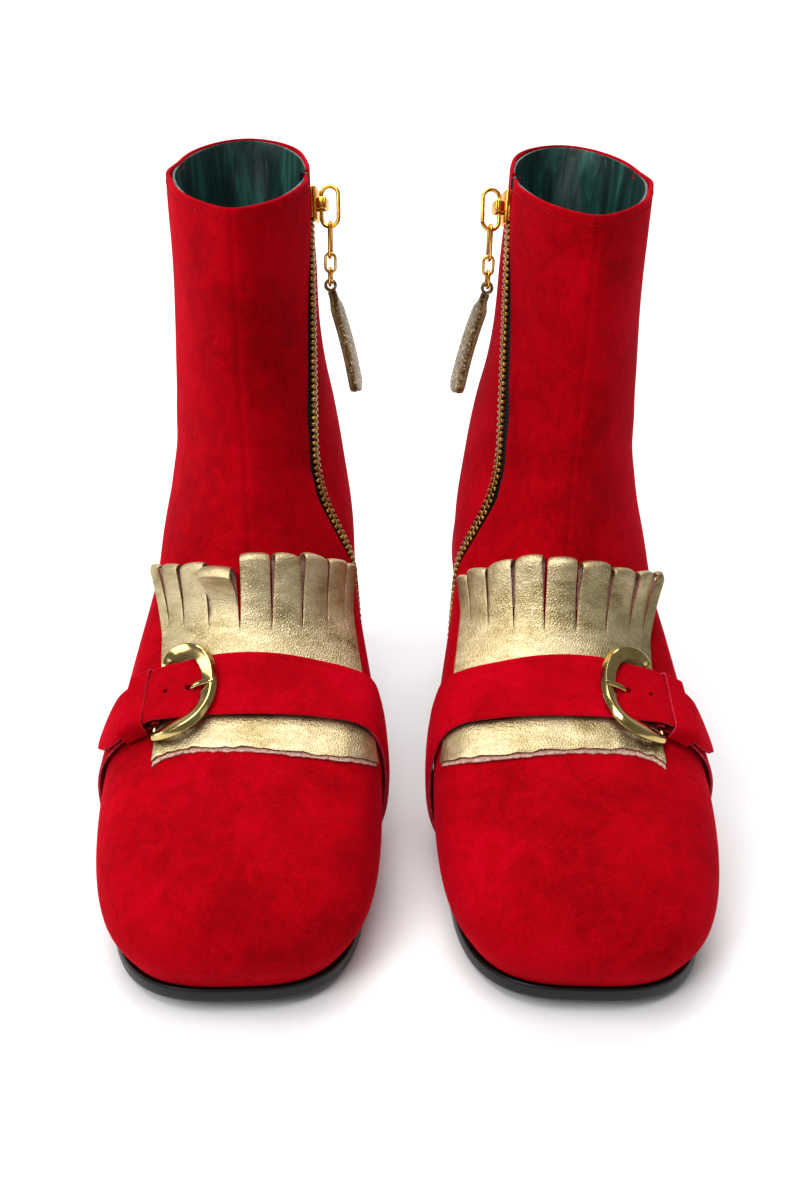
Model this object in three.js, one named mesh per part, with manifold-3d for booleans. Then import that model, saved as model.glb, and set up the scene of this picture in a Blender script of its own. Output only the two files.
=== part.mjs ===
// A pair of ankle boots: suede uppers zipped on the inner side, a fringed kiltie
// held under a buckled strap, and block heels. Millimetres, +Z up, toes towards -Y,
// the right boot at -X. Each boot is modelled toe at y = 0, inner (medial) side at +X.
import * as THREE from 'three';
import { mergeVertices } from 'three/addons/utils/BufferGeometryUtils.js';
import Module from 'manifold-3d';

const wasm = await Module();
wasm.setup();

// ---- driving dimensions -------------------------------------------------------------
const BOOT_SPACING = 115; // between the middles of the two boots
const TOE_IN = 1.4; // degrees that each toe turns inwards
const PIVOT_Y = 120; // y that each boot turns about
const GAP = 0.3; // between pieces that touch
const SUEDE = 1.4;
const STIFFENER = 0.9;
const LINING = 1.1;
const SOLE = 5;
const WELT = 1.6; // how far the sole stands out past the upper
const TOE_SPRING = 5;
const TREAD_START = 45; // y where the sole meets the ground
const TREAD_END = 85;
const BREAST_Y = 182; // front face of the heel
const HEEL_SEAT = 50; // height of the sole's underside at the heel breast
const SEAT_RISE = 2.7; // more height at the back of the heel
const TOP_LIFT = 6;
const STRAP_Y = 80;
const STRAP_WIDTH = 20;
const STRAP_THICKNESS = 1.6;
const FRINGE_STRIPS = 9;

// Sections of the last from the feather line at the sole (0) to the rim (12). Each lies
// in a plane from its front point to its back point. The columns are front y and z, back
// y and z, medial and lateral half width, x of the middle, where it is widest (a share of
// the length), the roundness power of the medial front, lateral front and back, and how
// much the waist draws in.
const SECTIONS = [
  [4, 9.4, 244, 58, 40.5, 42, 0, 0.31, 3.2, 2.9, 2.5, 0.26],
  [1, 17, 246, 68, 46, 47, 0, 0.31, 3.2, 2.9, 2.5, 0.2],
  [3, 26, 247, 78, 47.5, 48, 0, 0.33, 3.1, 2.8, 2.5, 0.16],
  [12, 36, 247, 88, 46.5, 45.5, 0, 0.35, 2.8, 2.6, 2.4, 0.12],
  [33, 46, 246, 98, 43.5, 42, 0.5, 0.37, 2.5, 2.3, 2.3, 0.08],
  [58, 55, 244, 110, 39.5, 39, 1.5, 0.41, 2.3, 2.1, 2.2, 0.04],
  [82, 66, 242, 122, 36, 37, 2, 0.46, 2.2, 2.1, 2.2, 0],
  [102, 81, 240, 135, 33.5, 34.5, 2, 0.5, 2.1, 2.1, 2.1, 0],
  [118, 102, 239, 148, 31, 31.5, 1, 0.52, 1.9, 1.9, 2.1, 0],
  [128, 128, 240, 165, 28, 29.5, 0, 0.52, 1.75, 1.75, 2, 0],
  [134, 158, 243, 187, 26.5, 28, -1.5, 0.5, 1.7, 1.7, 2, 0],
  [137, 190, 246, 208, 25.5, 27, -2, 0.5, 1.7, 1.7, 2, 0],
  [137, 214, 248, 226, 25.5, 26.5, -2.5, 0.5, 1.7, 1.7, 2, 0],
];
const RIM = SECTIONS.length - 1;

const degrees = THREE.MathUtils.degToRad;
const { lerp, clamp, smoothstep } = THREE.MathUtils;

// ---- the last -----------------------------------------------------------------------
function soleUnderside(y) {
  if (y < TREAD_START) return TOE_SPRING * (1 - y / TREAD_START) ** 2;
  const arch = HEEL_SEAT * smoothstep(y, TREAD_END, BREAST_Y - 2);
  return arch + SEAT_RISE * clamp((y - BREAST_Y) / (244 - BREAST_Y), 0, 1);
}

const feather = (y) => soleUnderside(y) + SOLE + GAP;

function section(t) {
  const i = clamp(Math.floor(t), 0, RIM - 1);
  const f = t - i;
  const row = (k) => SECTIONS[clamp(k, 0, RIM)];
  return row(i).map((p1, c) => {
    const [p0, p2, p3] = [row(i - 1)[c], row(i + 1)[c], row(i + 2)[c]];
    const slope = (p2 - p0) / 2;
    const bend = p0 - 2.5 * p1 + 2 * p2 - 0.5 * p3;
    const twist = (3 * p1 - p0 - 3 * p2 + p3) / 2;
    return p1 + f * (slope + f * (bend + f * twist));
  });
}

// The point of the last in section t, at angle psi round it: 0 front, +90 degrees medial.
function lastPoint(t, psi) {
  const [yf, zf, yb, zb, medial, lateral, middle, widest, pm, pl, pb, waist] = section(t);
  const c = Math.cos(psi);
  const s = Math.sin(psi);
  let power = s >= 0 ? pm : pl;
  if (c < 0) power = pb;
  const reach = (Math.abs(c) ** power + Math.abs(s) ** power) ** (-1 / power);
  const along = c >= 0 ? widest * (1 - reach * c) : widest - (1 - widest) * reach * c;
  const y = lerp(yf, yb, along);
  const seam = SECTIONS[0];
  const straight = lerp(seam[1], seam[3], (y - seam[0]) / (seam[2] - seam[0]));
  const fade = clamp(1 - t / 4.5, 0, 1) ** 1.5;
  const z = lerp(zf, zb, along) + fade * (feather(y) - straight);
  const drawIn = waist * Math.exp(-(((y - 150) / 38) ** 2));
  const half = s >= 0 ? medial * (1 - 1.15 * drawIn) : lateral * (1 - 0.85 * drawIn);
  return new THREE.Vector3(middle + reach * s * half, y, z);
}

function lastNormal(t, psi) {
  const step = 0.02;
  const round = lastPoint(t, psi + step).sub(lastPoint(t, psi - step));
  const low = Math.max(t - step, 0);
  const up = lastPoint(Math.min(low + 2 * step, RIM), psi).sub(lastPoint(Math.min(low, RIM - step), psi));
  return round.cross(up).normalize();
}

const skin = (t, psi, offset) =>
  lastPoint(t, psi).addScaledVector(lastNormal(t, psi), offset);

// The angle at which section t passes y, on the medial (+1) or lateral (-1) side.
function angleAtY(t, y, side) {
  const [yf, , yb, , , , , widest, pm, pl, pb] = section(t);
  const along = clamp((y - yf) / (yb - yf), 0, 1);
  const front = along <= widest;
  const a = front ? 1 - along / widest : (along - widest) / (1 - widest);
  let power = side > 0 ? pm : pl;
  if (!front) power = pb;
  const w = (1 - Math.min(a, 1) ** power) ** (1 / power);
  return side * Math.atan2(w, front ? a : -a);
}

// ---- solids -------------------------------------------------------------------------
function closedGeometry(points, triangles) {
  let volume = 0;
  for (let i = 0; i < triangles.length; i += 3) {
    const [a, b, c] = triangles.slice(i, i + 3).map((k) => points[k]);
    volume += a.dot(b.clone().cross(c));
  }
  const positions = points.flatMap((p) => p.toArray());
  const geometry = new THREE.BufferGeometry();
  geometry.setAttribute('position', new THREE.Float32BufferAttribute(positions, 3));
  geometry.setIndex(volume < 0 ? triangles.slice().reverse() : triangles);
  return geometry;
}

// A closed plate between an inner (layer 0) and an outer (layer 1) surface, each a grid.
function plate(columns, rows, point) {
  const points = [];
  const index = (i, j, layer) => (layer * (rows + 1) + j) * (columns + 1) + i;
  for (const layer of [0, 1]) {
    for (let j = 0; j <= rows; j++) {
      for (let i = 0; i <= columns; i++) points.push(point(i / columns, j / rows, layer));
    }
  }
  const triangles = [];
  const quad = (a, b, c, d) => triangles.push(a, b, c, a, c, d);
  for (let j = 0; j < rows; j++) {
    for (let i = 0; i < columns; i++) {
      quad(index(i, j, 1), index(i + 1, j, 1), index(i + 1, j + 1, 1), index(i, j + 1, 1));
      quad(index(i, j, 0), index(i, j + 1, 0), index(i + 1, j + 1, 0), index(i + 1, j, 0));
    }
  }
  for (let i = 0; i < columns; i++) {
    quad(index(i, 0, 0), index(i + 1, 0, 0), index(i + 1, 0, 1), index(i, 0, 1));
    quad(index(i + 1, rows, 0), index(i, rows, 0), index(i, rows, 1), index(i + 1, rows, 1));
  }
  for (let j = 0; j < rows; j++) {
    quad(index(0, j + 1, 0), index(0, j, 0), index(0, j, 1), index(0, j + 1, 1));
    quad(index(columns, j, 0), index(columns, j + 1, 0), index(columns, j + 1, 1), index(columns, j, 1));
  }
  return closedGeometry(points, triangles);
}

// A round rod of the given radius through the points, closed at both ends.
function rod(points, radius, sides = 6) {
  const path = new THREE.CatmullRomCurve3(points);
  const outline = new THREE.Shape(
    Array.from({ length: sides }, (_, k) => {
      const turn = (2 * Math.PI * k) / sides;
      return new THREE.Vector2(radius * Math.cos(turn), radius * Math.sin(turn));
    }),
  );
  const steps = points.length === 2 ? 1 : 2 * points.length;
  return new THREE.ExtrudeGeometry(outline, { steps, extrudePath: path, bevelEnabled: false });
}

function weld(geometry) {
  const bare = geometry.clone();
  bare.deleteAttribute('normal');
  bare.deleteAttribute('uv');
  return mergeVertices(bare, 1e-4);
}

function solid(geometry) {
  const bare = weld(geometry);
  const mesh = new wasm.Mesh({
    numProp: 3,
    vertProperties: new Float32Array(bare.attributes.position.array),
    triVerts: new Uint32Array(bare.index.array),
  });
  return new wasm.Manifold(mesh);
}

function geometryOf(body) {
  const mesh = body.getMesh();
  const geometry = new THREE.BufferGeometry();
  geometry.setAttribute('position', new THREE.BufferAttribute(mesh.vertProperties, 3));
  geometry.setIndex(new THREE.BufferAttribute(mesh.triVerts, 1));
  return geometry;
}

const joined = (...parts) => geometryOf(parts.map(solid).reduce((a, b) => a.add(b)));
const cut = (part, ...tools) => geometryOf(tools.map(solid).reduce((a, b) => a.subtract(b), solid(part)));

// A value between the knots [position, value] listed in rising order of position.
function between(knots, x) {
  const k = clamp(knots.findIndex((knot) => knot[0] > x), 1, knots.length - 1);
  const last = x >= knots[knots.length - 1][0] ? knots.length - 1 : k;
  const [[x0, v0], [x1, v1]] = [knots[last - 1], knots[last]];
  return lerp(v0, v1, clamp((x - x0) / (x1 - x0), 0, 1));
}

// ---- sole and heel ------------------------------------------------------------------
// Stations along the footprint, closest at the round toe and heel.
const HEEL_STATIONS = [BREAST_Y, 200, 217, 230, 238, 243.7];
const ARCH_STATIONS = [TREAD_END, 97, 109, 121, 133, 145, 157, 169];
const STATIONS = [4.3, 6, 11, 20, 32, TREAD_START, 65, ...ARCH_STATIONS, ...HEEL_STATIONS];

// A point of the footprint at y, across from lateral (0) to medial (1).
function inPlan(across, y, grow) {
  const edge = (side) => lastPoint(0, angleAtY(0, y, side));
  const p = edge(-1).lerp(edge(1), across);
  const middle = (SECTIONS[0][0] + SECTIONS[0][2]) / 2;
  const half = (SECTIONS[0][2] - SECTIONS[0][0]) / 2;
  p.x *= 1 + grow / SECTIONS[0][5];
  p.y = middle + (p.y - middle) * (1 + grow / half);
  return p;
}

// A layer on the footprint: plan gives a point of its outline, height its two faces.
function soleLayer(stations, columns, plan, height) {
  const rows = stations.length - 1;
  return plate(columns, rows, (u, v, layer) => {
    const p = plan(u, stations[Math.round(v * rows)], layer);
    return p.setZ(height(p.y, layer));
  });
}

const grown = (grow) => (u, y) => inPlan(u, y, grow);
const overFeather = (low, high) => (y, layer) => feather(y) + (layer ? high : low);

const outsole = () =>
  soleLayer(STATIONS, 2, grown(WELT), (y, layer) => (layer ? feather(y) - GAP : soleUnderside(y)));
const overSole = () => soleLayer(STATIONS, 2, grown(WELT), (y, layer) => feather(y) + 3 * (layer - 1));
const insoleBoard = () => soleLayer(STATIONS, 1, grown(-7), overFeather(2.6, 4.8));
const sockLining = () => soleLayer(STATIONS, 1, grown(-7.5), overFeather(5.1, 6.2));

const HEEL_MIDDLE_Y = 214;
const HEEL_TAPER = 0.93; // plan of the heel at the ground, as a share of the seat's

function heelPlan(u, y, share) {
  const p = inPlan(u, y, 0);
  p.x *= share;
  p.y = HEEL_MIDDLE_Y + (p.y - HEEL_MIDDLE_Y) * share;
  return p;
}

const heelBlock = () =>
  soleLayer(
    HEEL_STATIONS, 2,
    (u, y, layer) => heelPlan(u, y, layer ? 1 : HEEL_TAPER),
    (y, layer) => (layer ? soleUnderside(y) - GAP : TOP_LIFT + GAP),
  );
const topLift = () =>
  soleLayer(HEEL_STATIONS, 2, (u, y) => heelPlan(u, y, HEEL_TAPER), (y, layer) => layer * TOP_LIFT);

const SHANK_HALF = 7;
const shank = () =>
  soleLayer(
    [...ARCH_STATIONS.slice(1), ...HEEL_STATIONS.slice(0, 2)], 1,
    (u, y) => new THREE.Vector3(lerp(-SHANK_HALF, SHANK_HALF, u), y, 0), overFeather(0.5, 2.1),
  );

// ---- uppers -------------------------------------------------------------------------
const VAMP_TOP = 6.5; // section that the vamp reaches under the kiltie
const SEAM_HALF = degrees(0.35);
const vampSeamY = (t) => lerp(84, 98, t / VAMP_TOP);

// From the depth under the suede's face to that plus a thickness, inwards.
const layerAt = (depth, thickness) => (layer) => (layer ? -depth : -depth - thickness);
const LINING_DEPTH = 3.6;
const suedeLayer = layerAt(0, SUEDE);
const stiffenerLayer = layerAt(SUEDE + GAP, STIFFENER);
const liningLayer = layerAt(LINING_DEPTH, LINING);

// The layers of an upper share one grid of sections and angles, so that they nest.
const UPPER_LOW = 0.06; // section where the uppers start, just over the sole
const FRONT_COLUMNS = 12;
const FRONT_ROWS = 9;

function frontLayer(columns, rows, layers) {
  const [c0, c1] = columns;
  const [r0, r1] = rows;
  return plate(c1 - c0, r1 - r0, (u, v, layer) => {
    const t = lerp(UPPER_LOW, VAMP_TOP - 0.03, lerp(r0, r1, v) / FRONT_ROWS);
    const edge = (side) => angleAtY(t, vampSeamY(t) - 0.2, side);
    const psi = lerp(edge(-1), edge(1), lerp(c0, c1, u) / FRONT_COLUMNS);
    return skin(t, psi, layers(layer));
  });
}

const vamp = () => frontLayer([0, FRONT_COLUMNS], [0, FRONT_ROWS], suedeLayer);
const vampLining = () => frontLayer([0, FRONT_COLUMNS], [0, FRONT_ROWS], liningLayer);
const toePuff = () => frontLayer([3, 9], [0, 4], stiffenerLayer);

// Sections that the rows of a quarter follow; the front edge jumps forward to the shaft's
// front seam where the vamp ends.
const QUARTER_ROWS = [
  UPPER_LOW, 1.1, 2.2, 3.3, 4.4, 5.5, VAMP_TOP, VAMP_TOP + 0.06, 7.3, 8.1, 8.9, 10, RIM,
];
const QUARTER_COLUMNS = 8;

// Columns run from the medial quarter's front edge (0) to the back seam
// (QUARTER_COLUMNS) and on round to the lateral quarter's front edge.
function quarterLayer(columns, rowCount, layers) {
  const [c0, c1] = columns;
  return plate(c1 - c0, rowCount, (u, v, layer) => {
    const t = QUARTER_ROWS[Math.round(v * rowCount)];
    const column = lerp(c0, c1, u);
    const side = c0 < QUARTER_COLUMNS && column <= QUARTER_COLUMNS ? 1 : -1;
    const front = t <= VAMP_TOP ? angleAtY(t, vampSeamY(t) + 0.2, side) : side * SEAM_HALF;
    const share = 1 - Math.abs(column / QUARTER_COLUMNS - 1);
    return skin(t, lerp(front, side * (Math.PI - SEAM_HALF), share), layers(layer));
  });
}

const ALL_ROWS = QUARTER_ROWS.length - 1;
const medialQuarter = () => quarterLayer([0, QUARTER_COLUMNS], ALL_ROWS, suedeLayer);
const lateralQuarter = () => quarterLayer([QUARTER_COLUMNS, 2 * QUARTER_COLUMNS], ALL_ROWS, suedeLayer);
const quarterLining = () => quarterLayer([0, 2 * QUARTER_COLUMNS], ALL_ROWS, liningLayer);
const heelCounter = () => quarterLayer([5, 11], 4, stiffenerLayer);

// ---- zip ----------------------------------------------------------------------------
// Where the zip crosses each section: y from section 2 up to the rim.
const ZIP_Y = [127, 133, 139, 143, 144.5, 144.5, 146.2, 156.5, 169, 181.6, 191];
const ZIP_LOW = 2.5;
const ZIP_KNEE = 8.5; // the zip is straight from here up to the rim
const ZIP_SLOT = 7.6; // gap in the suede
const ZIP_SINK = 0.5; // how far the straight stretch is set under the rim's face
const TAPE_REACH = 9;
const TAPE_DEPTH = 2.2;
const TEETH_REACH = 2.4;
const TEETH_DEPTH = [-0.8, 1];
const TOOTH_WAVE = 0.7;
const TEETH_PER_ROW = 22;

function zipAngle(t) {
  const knots = ZIP_Y.map((y, k) => [k + 2, y]);
  return angleAtY(t, between(knots, t), 1);
}

const zipTop = skin(RIM, zipAngle(RIM), -ZIP_SINK);
const zipKnee = skin(ZIP_KNEE, zipAngle(ZIP_KNEE), -ZIP_SINK);
const zipDown = zipKnee.clone().sub(zipTop).normalize();
const zipOut = lastNormal(10.4, zipAngle(10.4)).projectOnPlane(zipDown).normalize();

const zipStations = [];
for (const share of [-0.1, 0, 0.25, 0.5, 0.75, 1]) {
  zipStations.push({ point: zipTop.clone().lerp(zipKnee, share), out: zipOut });
}
for (let t = 7.6; t > ZIP_LOW; t -= 0.85) {
  zipStations.push({ point: skin(t, zipAngle(t), -ZIP_SINK), out: lastNormal(t, zipAngle(t)) });
}
const zipCurve = new THREE.CatmullRomCurve3(zipStations.map((s) => s.point), false, 'centripetal');
const zipFacing = new THREE.CatmullRomCurve3(zipStations.map((s) => s.out), false, 'centripetal');

// A point beside the zip: share 0 above the rim to 1 at the low end, front is +.
function besideZip(share, front, out) {
  const facing = zipFacing.getPoint(share).normalize();
  const forward = zipCurve.getTangent(share).cross(facing).normalize();
  return zipCurve.getPoint(share).addScaledVector(forward, front).addScaledVector(facing, out);
}

const zipSlot = () =>
  plate(1, 11, (u, v, layer) => besideZip(lerp(0, 0.995, v), (u - 0.5) * ZIP_SLOT, layer ? 9 : -9));

function zipTeeth(side) {
  const rows = 2 * TEETH_PER_ROW;
  return plate(1, rows, (u, v, layer) => {
    const wave = Math.round(v * rows) % 2 ? TOOTH_WAVE : -TOOTH_WAVE;
    const front = u ? side * TEETH_REACH : side * 0.2 + wave;
    return besideZip(lerp(0.085, 0.965, v), front, TEETH_DEPTH[layer]);
  });
}

function zipTape(side) {
  return plate(2, 11, (u, v, layer) => {
    const t = lerp(RIM - 0.05, ZIP_LOW - 0.2, v);
    const psi = zipAngle(t);
    const round = lastPoint(t, psi + 0.01).distanceTo(lastPoint(t, psi - 0.01)) / 0.02;
    const reach = side * lerp(1, TAPE_REACH, u);
    const depth = TAPE_DEPTH + (layer ? 0 : 0.6);
    return skin(t, psi - reach / round, -depth);
  });
}

const SLIDER_LENGTH = 12;
const SLIDER_WIDTH = 8.4;
const PLATE_OUT = [1.4, 2.6]; // the slider's plate over the teeth
const BRIDGE_OUT = 5.8;

function box(size, centre) {
  return new THREE.BoxGeometry(...size).translate(...centre);
}

// In the slider's own frame: x out of the boot, y towards the heel, z up along the zip.
const slider = () => {
  const plateMiddle = (PLATE_OUT[0] + PLATE_OUT[1]) / 2;
  const plateThick = PLATE_OUT[1] - PLATE_OUT[0];
  const flange = (side) => box([2.2, 0.7, SLIDER_LENGTH], [0.5, side * 3.15, 0]);
  const post = (side) => box([BRIDGE_OUT - PLATE_OUT[1] + 0.4, 0.9, 4], [4.2, side * 2.3, 0]);
  return joined(
    box([plateThick, SLIDER_WIDTH, SLIDER_LENGTH], [plateMiddle, 0, 0]),
    flange(-1), flange(1), post(-1), post(1),
    box([0.9, 5.5, 4], [BRIDGE_OUT, 0, 0]),
  );
};

// ---- pull chain ---------------------------------------------------------------------
// An oval link standing up in the xz plane, its top wire's centre at the origin.
function link(width, length, wire) {
  const torus = new THREE.TorusGeometry(width / 2 - wire, wire, 6, 12);
  const stretch = (length - width) / 2;
  const position = torus.attributes.position;
  for (let k = 0; k < position.count; k++) {
    const y = position.getY(k);
    if (Math.abs(y) > 1e-6) position.setY(k, y + Math.sign(y) * stretch);
  }
  return weld(torus.rotateX(Math.PI / 2).translate(0, 0, wire - length / 2));
}

const RING = { width: 8, length: 16, wire: 0.8 };
const LONG_LINK = { width: 5, length: 14, wire: 0.6 };
const SHORT_LINK = { width: 5, length: 8, wire: 0.6 };
const TAB_RING = { width: 5, length: 7.5, wire: 0.6 };
const TAB_LENGTH = 41;
const TAB_WIDTH = 11;
const TAB_THICKNESS = 3.2;
const TAB_EYE = 2.5;
const TAB_LEAN = 15; // degrees that the tab leans away from the boot
const PLAY = 0.35; // between links that hang in one another

// How far the next link's top wire lies above the wire that it hangs on.
const hang = (upper, lower) => upper.wire + lower.wire + PLAY;
const reachOf = (piece) => piece.length - 2 * piece.wire;

const pullTab = () => {
  const outline = new THREE.Shape();
  const half = TAB_WIDTH / 2;
  outline.moveTo(-1, -TAB_EYE + 0.8);
  outline.lineTo(-1, -4.5);
  outline.lineTo(-half + 1, -8);
  outline.lineTo(-half, -TAB_LENGTH + 3);
  outline.quadraticCurveTo(-half, -TAB_LENGTH, -half + 3, -TAB_LENGTH);
  outline.lineTo(half - 3, -TAB_LENGTH);
  outline.quadraticCurveTo(half, -TAB_LENGTH, half, -TAB_LENGTH + 3);
  outline.lineTo(half - 1, -8);
  outline.lineTo(1, -4.5);
  outline.lineTo(1, -TAB_EYE + 0.8);
  const thick = { depth: TAB_THICKNESS, bevelEnabled: false, curveSegments: 3 };
  const leaf = new THREE.ExtrudeGeometry(outline, thick);
  leaf.translate(0, 0, -TAB_THICKNESS / 2).rotateX(Math.PI / 2).rotateZ(Math.PI / 2);
  const eye = new THREE.CylinderGeometry(TAB_EYE, TAB_EYE, 2, 12);
  const hole = new THREE.CylinderGeometry(1.3, 1.3, 8, 12);
  return cut(joined(leaf, eye), hole);
};

// ---- kiltie -------------------------------------------------------------------------
const KILTIE_LATERAL = degrees(-62);
const KILTIE_MEDIAL = degrees(68);
const KILTIE_BACK = 0.9; // inner and outer face over the suede
const KILTIE_FACE = 2.3;
const FRINGE_FACE = 5.6; // the folded fringe stands this proud at its top
const SLIT = 0.8;
const LATERAL_NARROW = 0.62; // the lateral half narrows to this share at its lower edge

const falls = (middle, drop, psi) => middle - drop * (psi / degrees(68)) ** 2;
const kiltieLow = (psi) => falls(5.05, 1.9, psi < 0 ? psi * LATERAL_NARROW : psi);
const kiltieSlit = (psi) => falls(6.75, 1.35, psi);
const kiltieTop = (psi) => falls(7.8, 1.45, psi);

// The lateral edge runs straight up the instep, so it leaves the sections' own angles.
function kiltiePoint(psi, t, offset) {
  const narrow = clamp(lerp(LATERAL_NARROW, 1, (t - 4.1) / 2.4), LATERAL_NARROW, 1);
  return skin(t, psi < 0 ? psi * narrow : psi, offset);
}

const kiltie = () => {
  const sheet = plate(12, 4, (u, v, layer) => {
    const psi = lerp(KILTIE_LATERAL, KILTIE_MEDIAL, u);
    return kiltiePoint(psi, lerp(kiltieLow(psi), kiltieSlit(psi), v), layer ? KILTIE_FACE : KILTIE_BACK);
  });
  const strips = [];
  const pitch = (KILTIE_MEDIAL - KILTIE_LATERAL) / FRINGE_STRIPS;
  for (let k = 0; k < FRINGE_STRIPS; k++) {
    const start = KILTIE_LATERAL + k * pitch;
    const slit = SLIT / 38;
    strips.push(
      plate(1, 3, (u, v, layer) => {
        const psi = start + lerp(k ? slit / 2 : 0, k < FRINGE_STRIPS - 1 ? pitch - slit / 2 : pitch, u);
        const t = lerp(kiltieSlit(psi) - 0.12, kiltieTop(psi), v);
        return kiltiePoint(psi, t, layer ? lerp(KILTIE_FACE - 0.2, FRINGE_FACE, v) : KILTIE_BACK + 0.1);
      }),
    );
  }
  return joined(sheet, ...strips);
};

// ---- strap and buckle ---------------------------------------------------------------
// The foot's cross-section at y, as [distance round from the top, section, angle], with
// the distance growing towards the medial side.
const girths = new Map();
function girth(y) {
  if (girths.has(y)) return girths.get(y);
  const steps = 40;
  let top = 0;
  while (section(top)[0] < y || top < 2) top += 0.01;
  const side = (sign) => {
    const list = [{ s: 0, t: top, psi: 0 }];
    let last = lastPoint(top, 0);
    for (let k = 1; k <= steps; k++) {
      const t = top * (1 - (k / steps) ** 2);
      const psi = angleAtY(t, y, sign);
      const p = lastPoint(t, psi);
      list.push({ s: list[k - 1].s + sign * p.distanceTo(last), t, psi });
      last = p;
    }
    return list;
  };
  const whole = [...side(-1).reverse(), ...side(1).slice(1)];
  girths.set(y, whole);
  return whole;
}

// The point on the cross-section at y, a distance s round from its top, and offset out.
function over(y, s, offset) {
  const whole = girth(y);
  const k = clamp(whole.findIndex((g) => g.s > s), 1, whole.length - 1);
  const [a, b] = [whole[k - 1], whole[k]];
  const f = clamp((s - a.s) / (b.s - a.s), 0, 1);
  const inner = skin(a.t, a.psi, offset);
  return inner.lerp(skin(b.t, b.psi, offset), f);
}

const lateralEnd = (y) => girth(y)[0].s;
const medialEnd = (y) => girth(y)[girth(y).length - 1].s;

const BAR_AT = -33.5; // the buckle's bar, this far round to the lateral side
const ARC_AT = -11.5; // the far end of its bow
const BAR_OFFSET = 3.5;
const ARC_OFFSET = 6.1;
const BUCKLE_HALF = 14; // half of the bar's length
const BAR_RADIUS = 1.1;
const BOW_RADIUS = 1.2;
const CHAPE_LOOP = 2.4; // outer radius of the leather round the bar
const TAIL_END = -59;
const PRONG_RADIUS = 0.9;
const HOLE_AT = -21.5; // the strap's hole round the prong
const HOLE = { from: -30, to: -17.5, width: 3 };

// The strap's lower face rises over the bar and lies low elsewhere.
const STRAP_RISE = [
  [TAIL_END, 3], [-42, 3], [-38, 5.5], [BAR_AT, 6.3], [-26, 5.8], [-17, 3],
  [42, 3], [60, 2], [90, 1.8],
];

const strap = () => {
  const stations = [
    TAIL_END, -57, -50, -46, -42, -38, BAR_AT, -30, -26, -21, -17,
    -8, 1, 10, 18, 26, 33, 39, 45, 51, 58, 66,
  ];
  const band = plate(2, stations.length, (u, v, layer) => {
    const k = Math.round(v * stations.length);
    const tip = k === 0 ? 0.45 : 1;
    const y = STRAP_Y + (u - 0.5) * STRAP_WIDTH * tip;
    const s = k < stations.length ? stations[k] : medialEnd(y) - 1.5;
    return over(y, s, between(STRAP_RISE, s) + layer * STRAP_THICKNESS);
  });
  const hole = plate(1, 1, (u, v, layer) => {
    return over(STRAP_Y + (u - 0.5) * HOLE.width, lerp(HOLE.from, HOLE.to, v), layer ? 10 : 1);
  });
  return cut(band, hole);
};

// The bar is straight: it runs on through two neighbouring points of the foot.
function barPoint(y) {
  const start = over(STRAP_Y, BAR_AT, BAR_OFFSET);
  const step = over(STRAP_Y + 1, BAR_AT, BAR_OFFSET).sub(start);
  return start.addScaledVector(step.normalize(), y);
}

// A cylinder round the bar's line, from y - width / 2 to y + width / 2.
function onBar(y, width, radius) {
  const along = barPoint(1).sub(barPoint(0)).normalize();
  const turn = new THREE.Quaternion().setFromUnitVectors(new THREE.Vector3(0, 1, 0), along);
  return new THREE.CylinderGeometry(radius, radius, width, 10)
    .applyQuaternion(turn)
    .translate(...barPoint(y).toArray());
}

const CHAPE_HALF = 9.5;
const PRONG_EYE = 2.2;
const PRONG_EYE_WIDTH = 2.2;
const BAR_CLEARANCE = BAR_RADIUS + GAP;

// The chape comes up from the sole, turns round the bar and leaves room for the prong.
const chape = () => {
  const flap = plate(2, 7, (u, v, layer) => {
    const y = STRAP_Y + (u - 0.5) * 2 * CHAPE_HALF;
    const s = lerp(BAR_AT - 1.5, lateralEnd(y) + 1.5, v);
    return over(y, s, layer ? 2.4 : 1);
  });
  const loop = onBar(0, 2 * CHAPE_HALF, CHAPE_LOOP);
  const prongRoom = onBar(0, PRONG_EYE_WIDTH + 2 * GAP, PRONG_EYE + GAP);
  return cut(joined(flap, loop), onBar(0, 60, BAR_CLEARANCE), prongRoom);
};

const KEEPER_AT = [-49, -42.5];
const KEEPER_WALL = 1.2;
const KEEPER_TOP = 5.2; // underside of the loop over the strap's tail
const KEEPER_HALF = 10.4;

// The keeper is a loop of leather over the strap's tail, sewn down at both edges.
const strapKeeper = () => {
  const path = (wall) => [
    [-KEEPER_HALF - wall, 1], [-KEEPER_HALF - wall, KEEPER_TOP + wall],
    [KEEPER_HALF + wall, KEEPER_TOP + wall], [KEEPER_HALF + wall, 1],
  ];
  return plate(3, 1, (u, v, layer) => {
    const [y, offset] = path(layer ? KEEPER_WALL : 0)[Math.round(u * 3)];
    return over(STRAP_Y + y, lerp(...KEEPER_AT, v), offset);
  });
};

// A point over the strap: y from its middle, distance round, and offset.
const onStrap = (y, s, offset) => over(STRAP_Y + y, s, offset);

const buckleFrame = () => {
  const half = [
    [BUCKLE_HALF + 0.6, -28, 4.5], [BUCKLE_HALF + 0.2, -22, 5.2],
    [BUCKLE_HALF - 2.5, -16.4, 5.8], [BUCKLE_HALF - 7.5, -12.8, ARC_OFFSET],
  ];
  const bow = rod([
    barPoint(BUCKLE_HALF),
    ...half.map(([y, s, offset]) => onStrap(y, s, offset)),
    onStrap(0, ARC_AT, ARC_OFFSET),
    ...half.reverse().map(([y, s, offset]) => onStrap(-y, s, offset)),
    barPoint(-BUCKLE_HALF),
  ], BOW_RADIUS);
  return joined(bow, onBar(0, 2 * BUCKLE_HALF, BAR_RADIUS));
};

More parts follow.
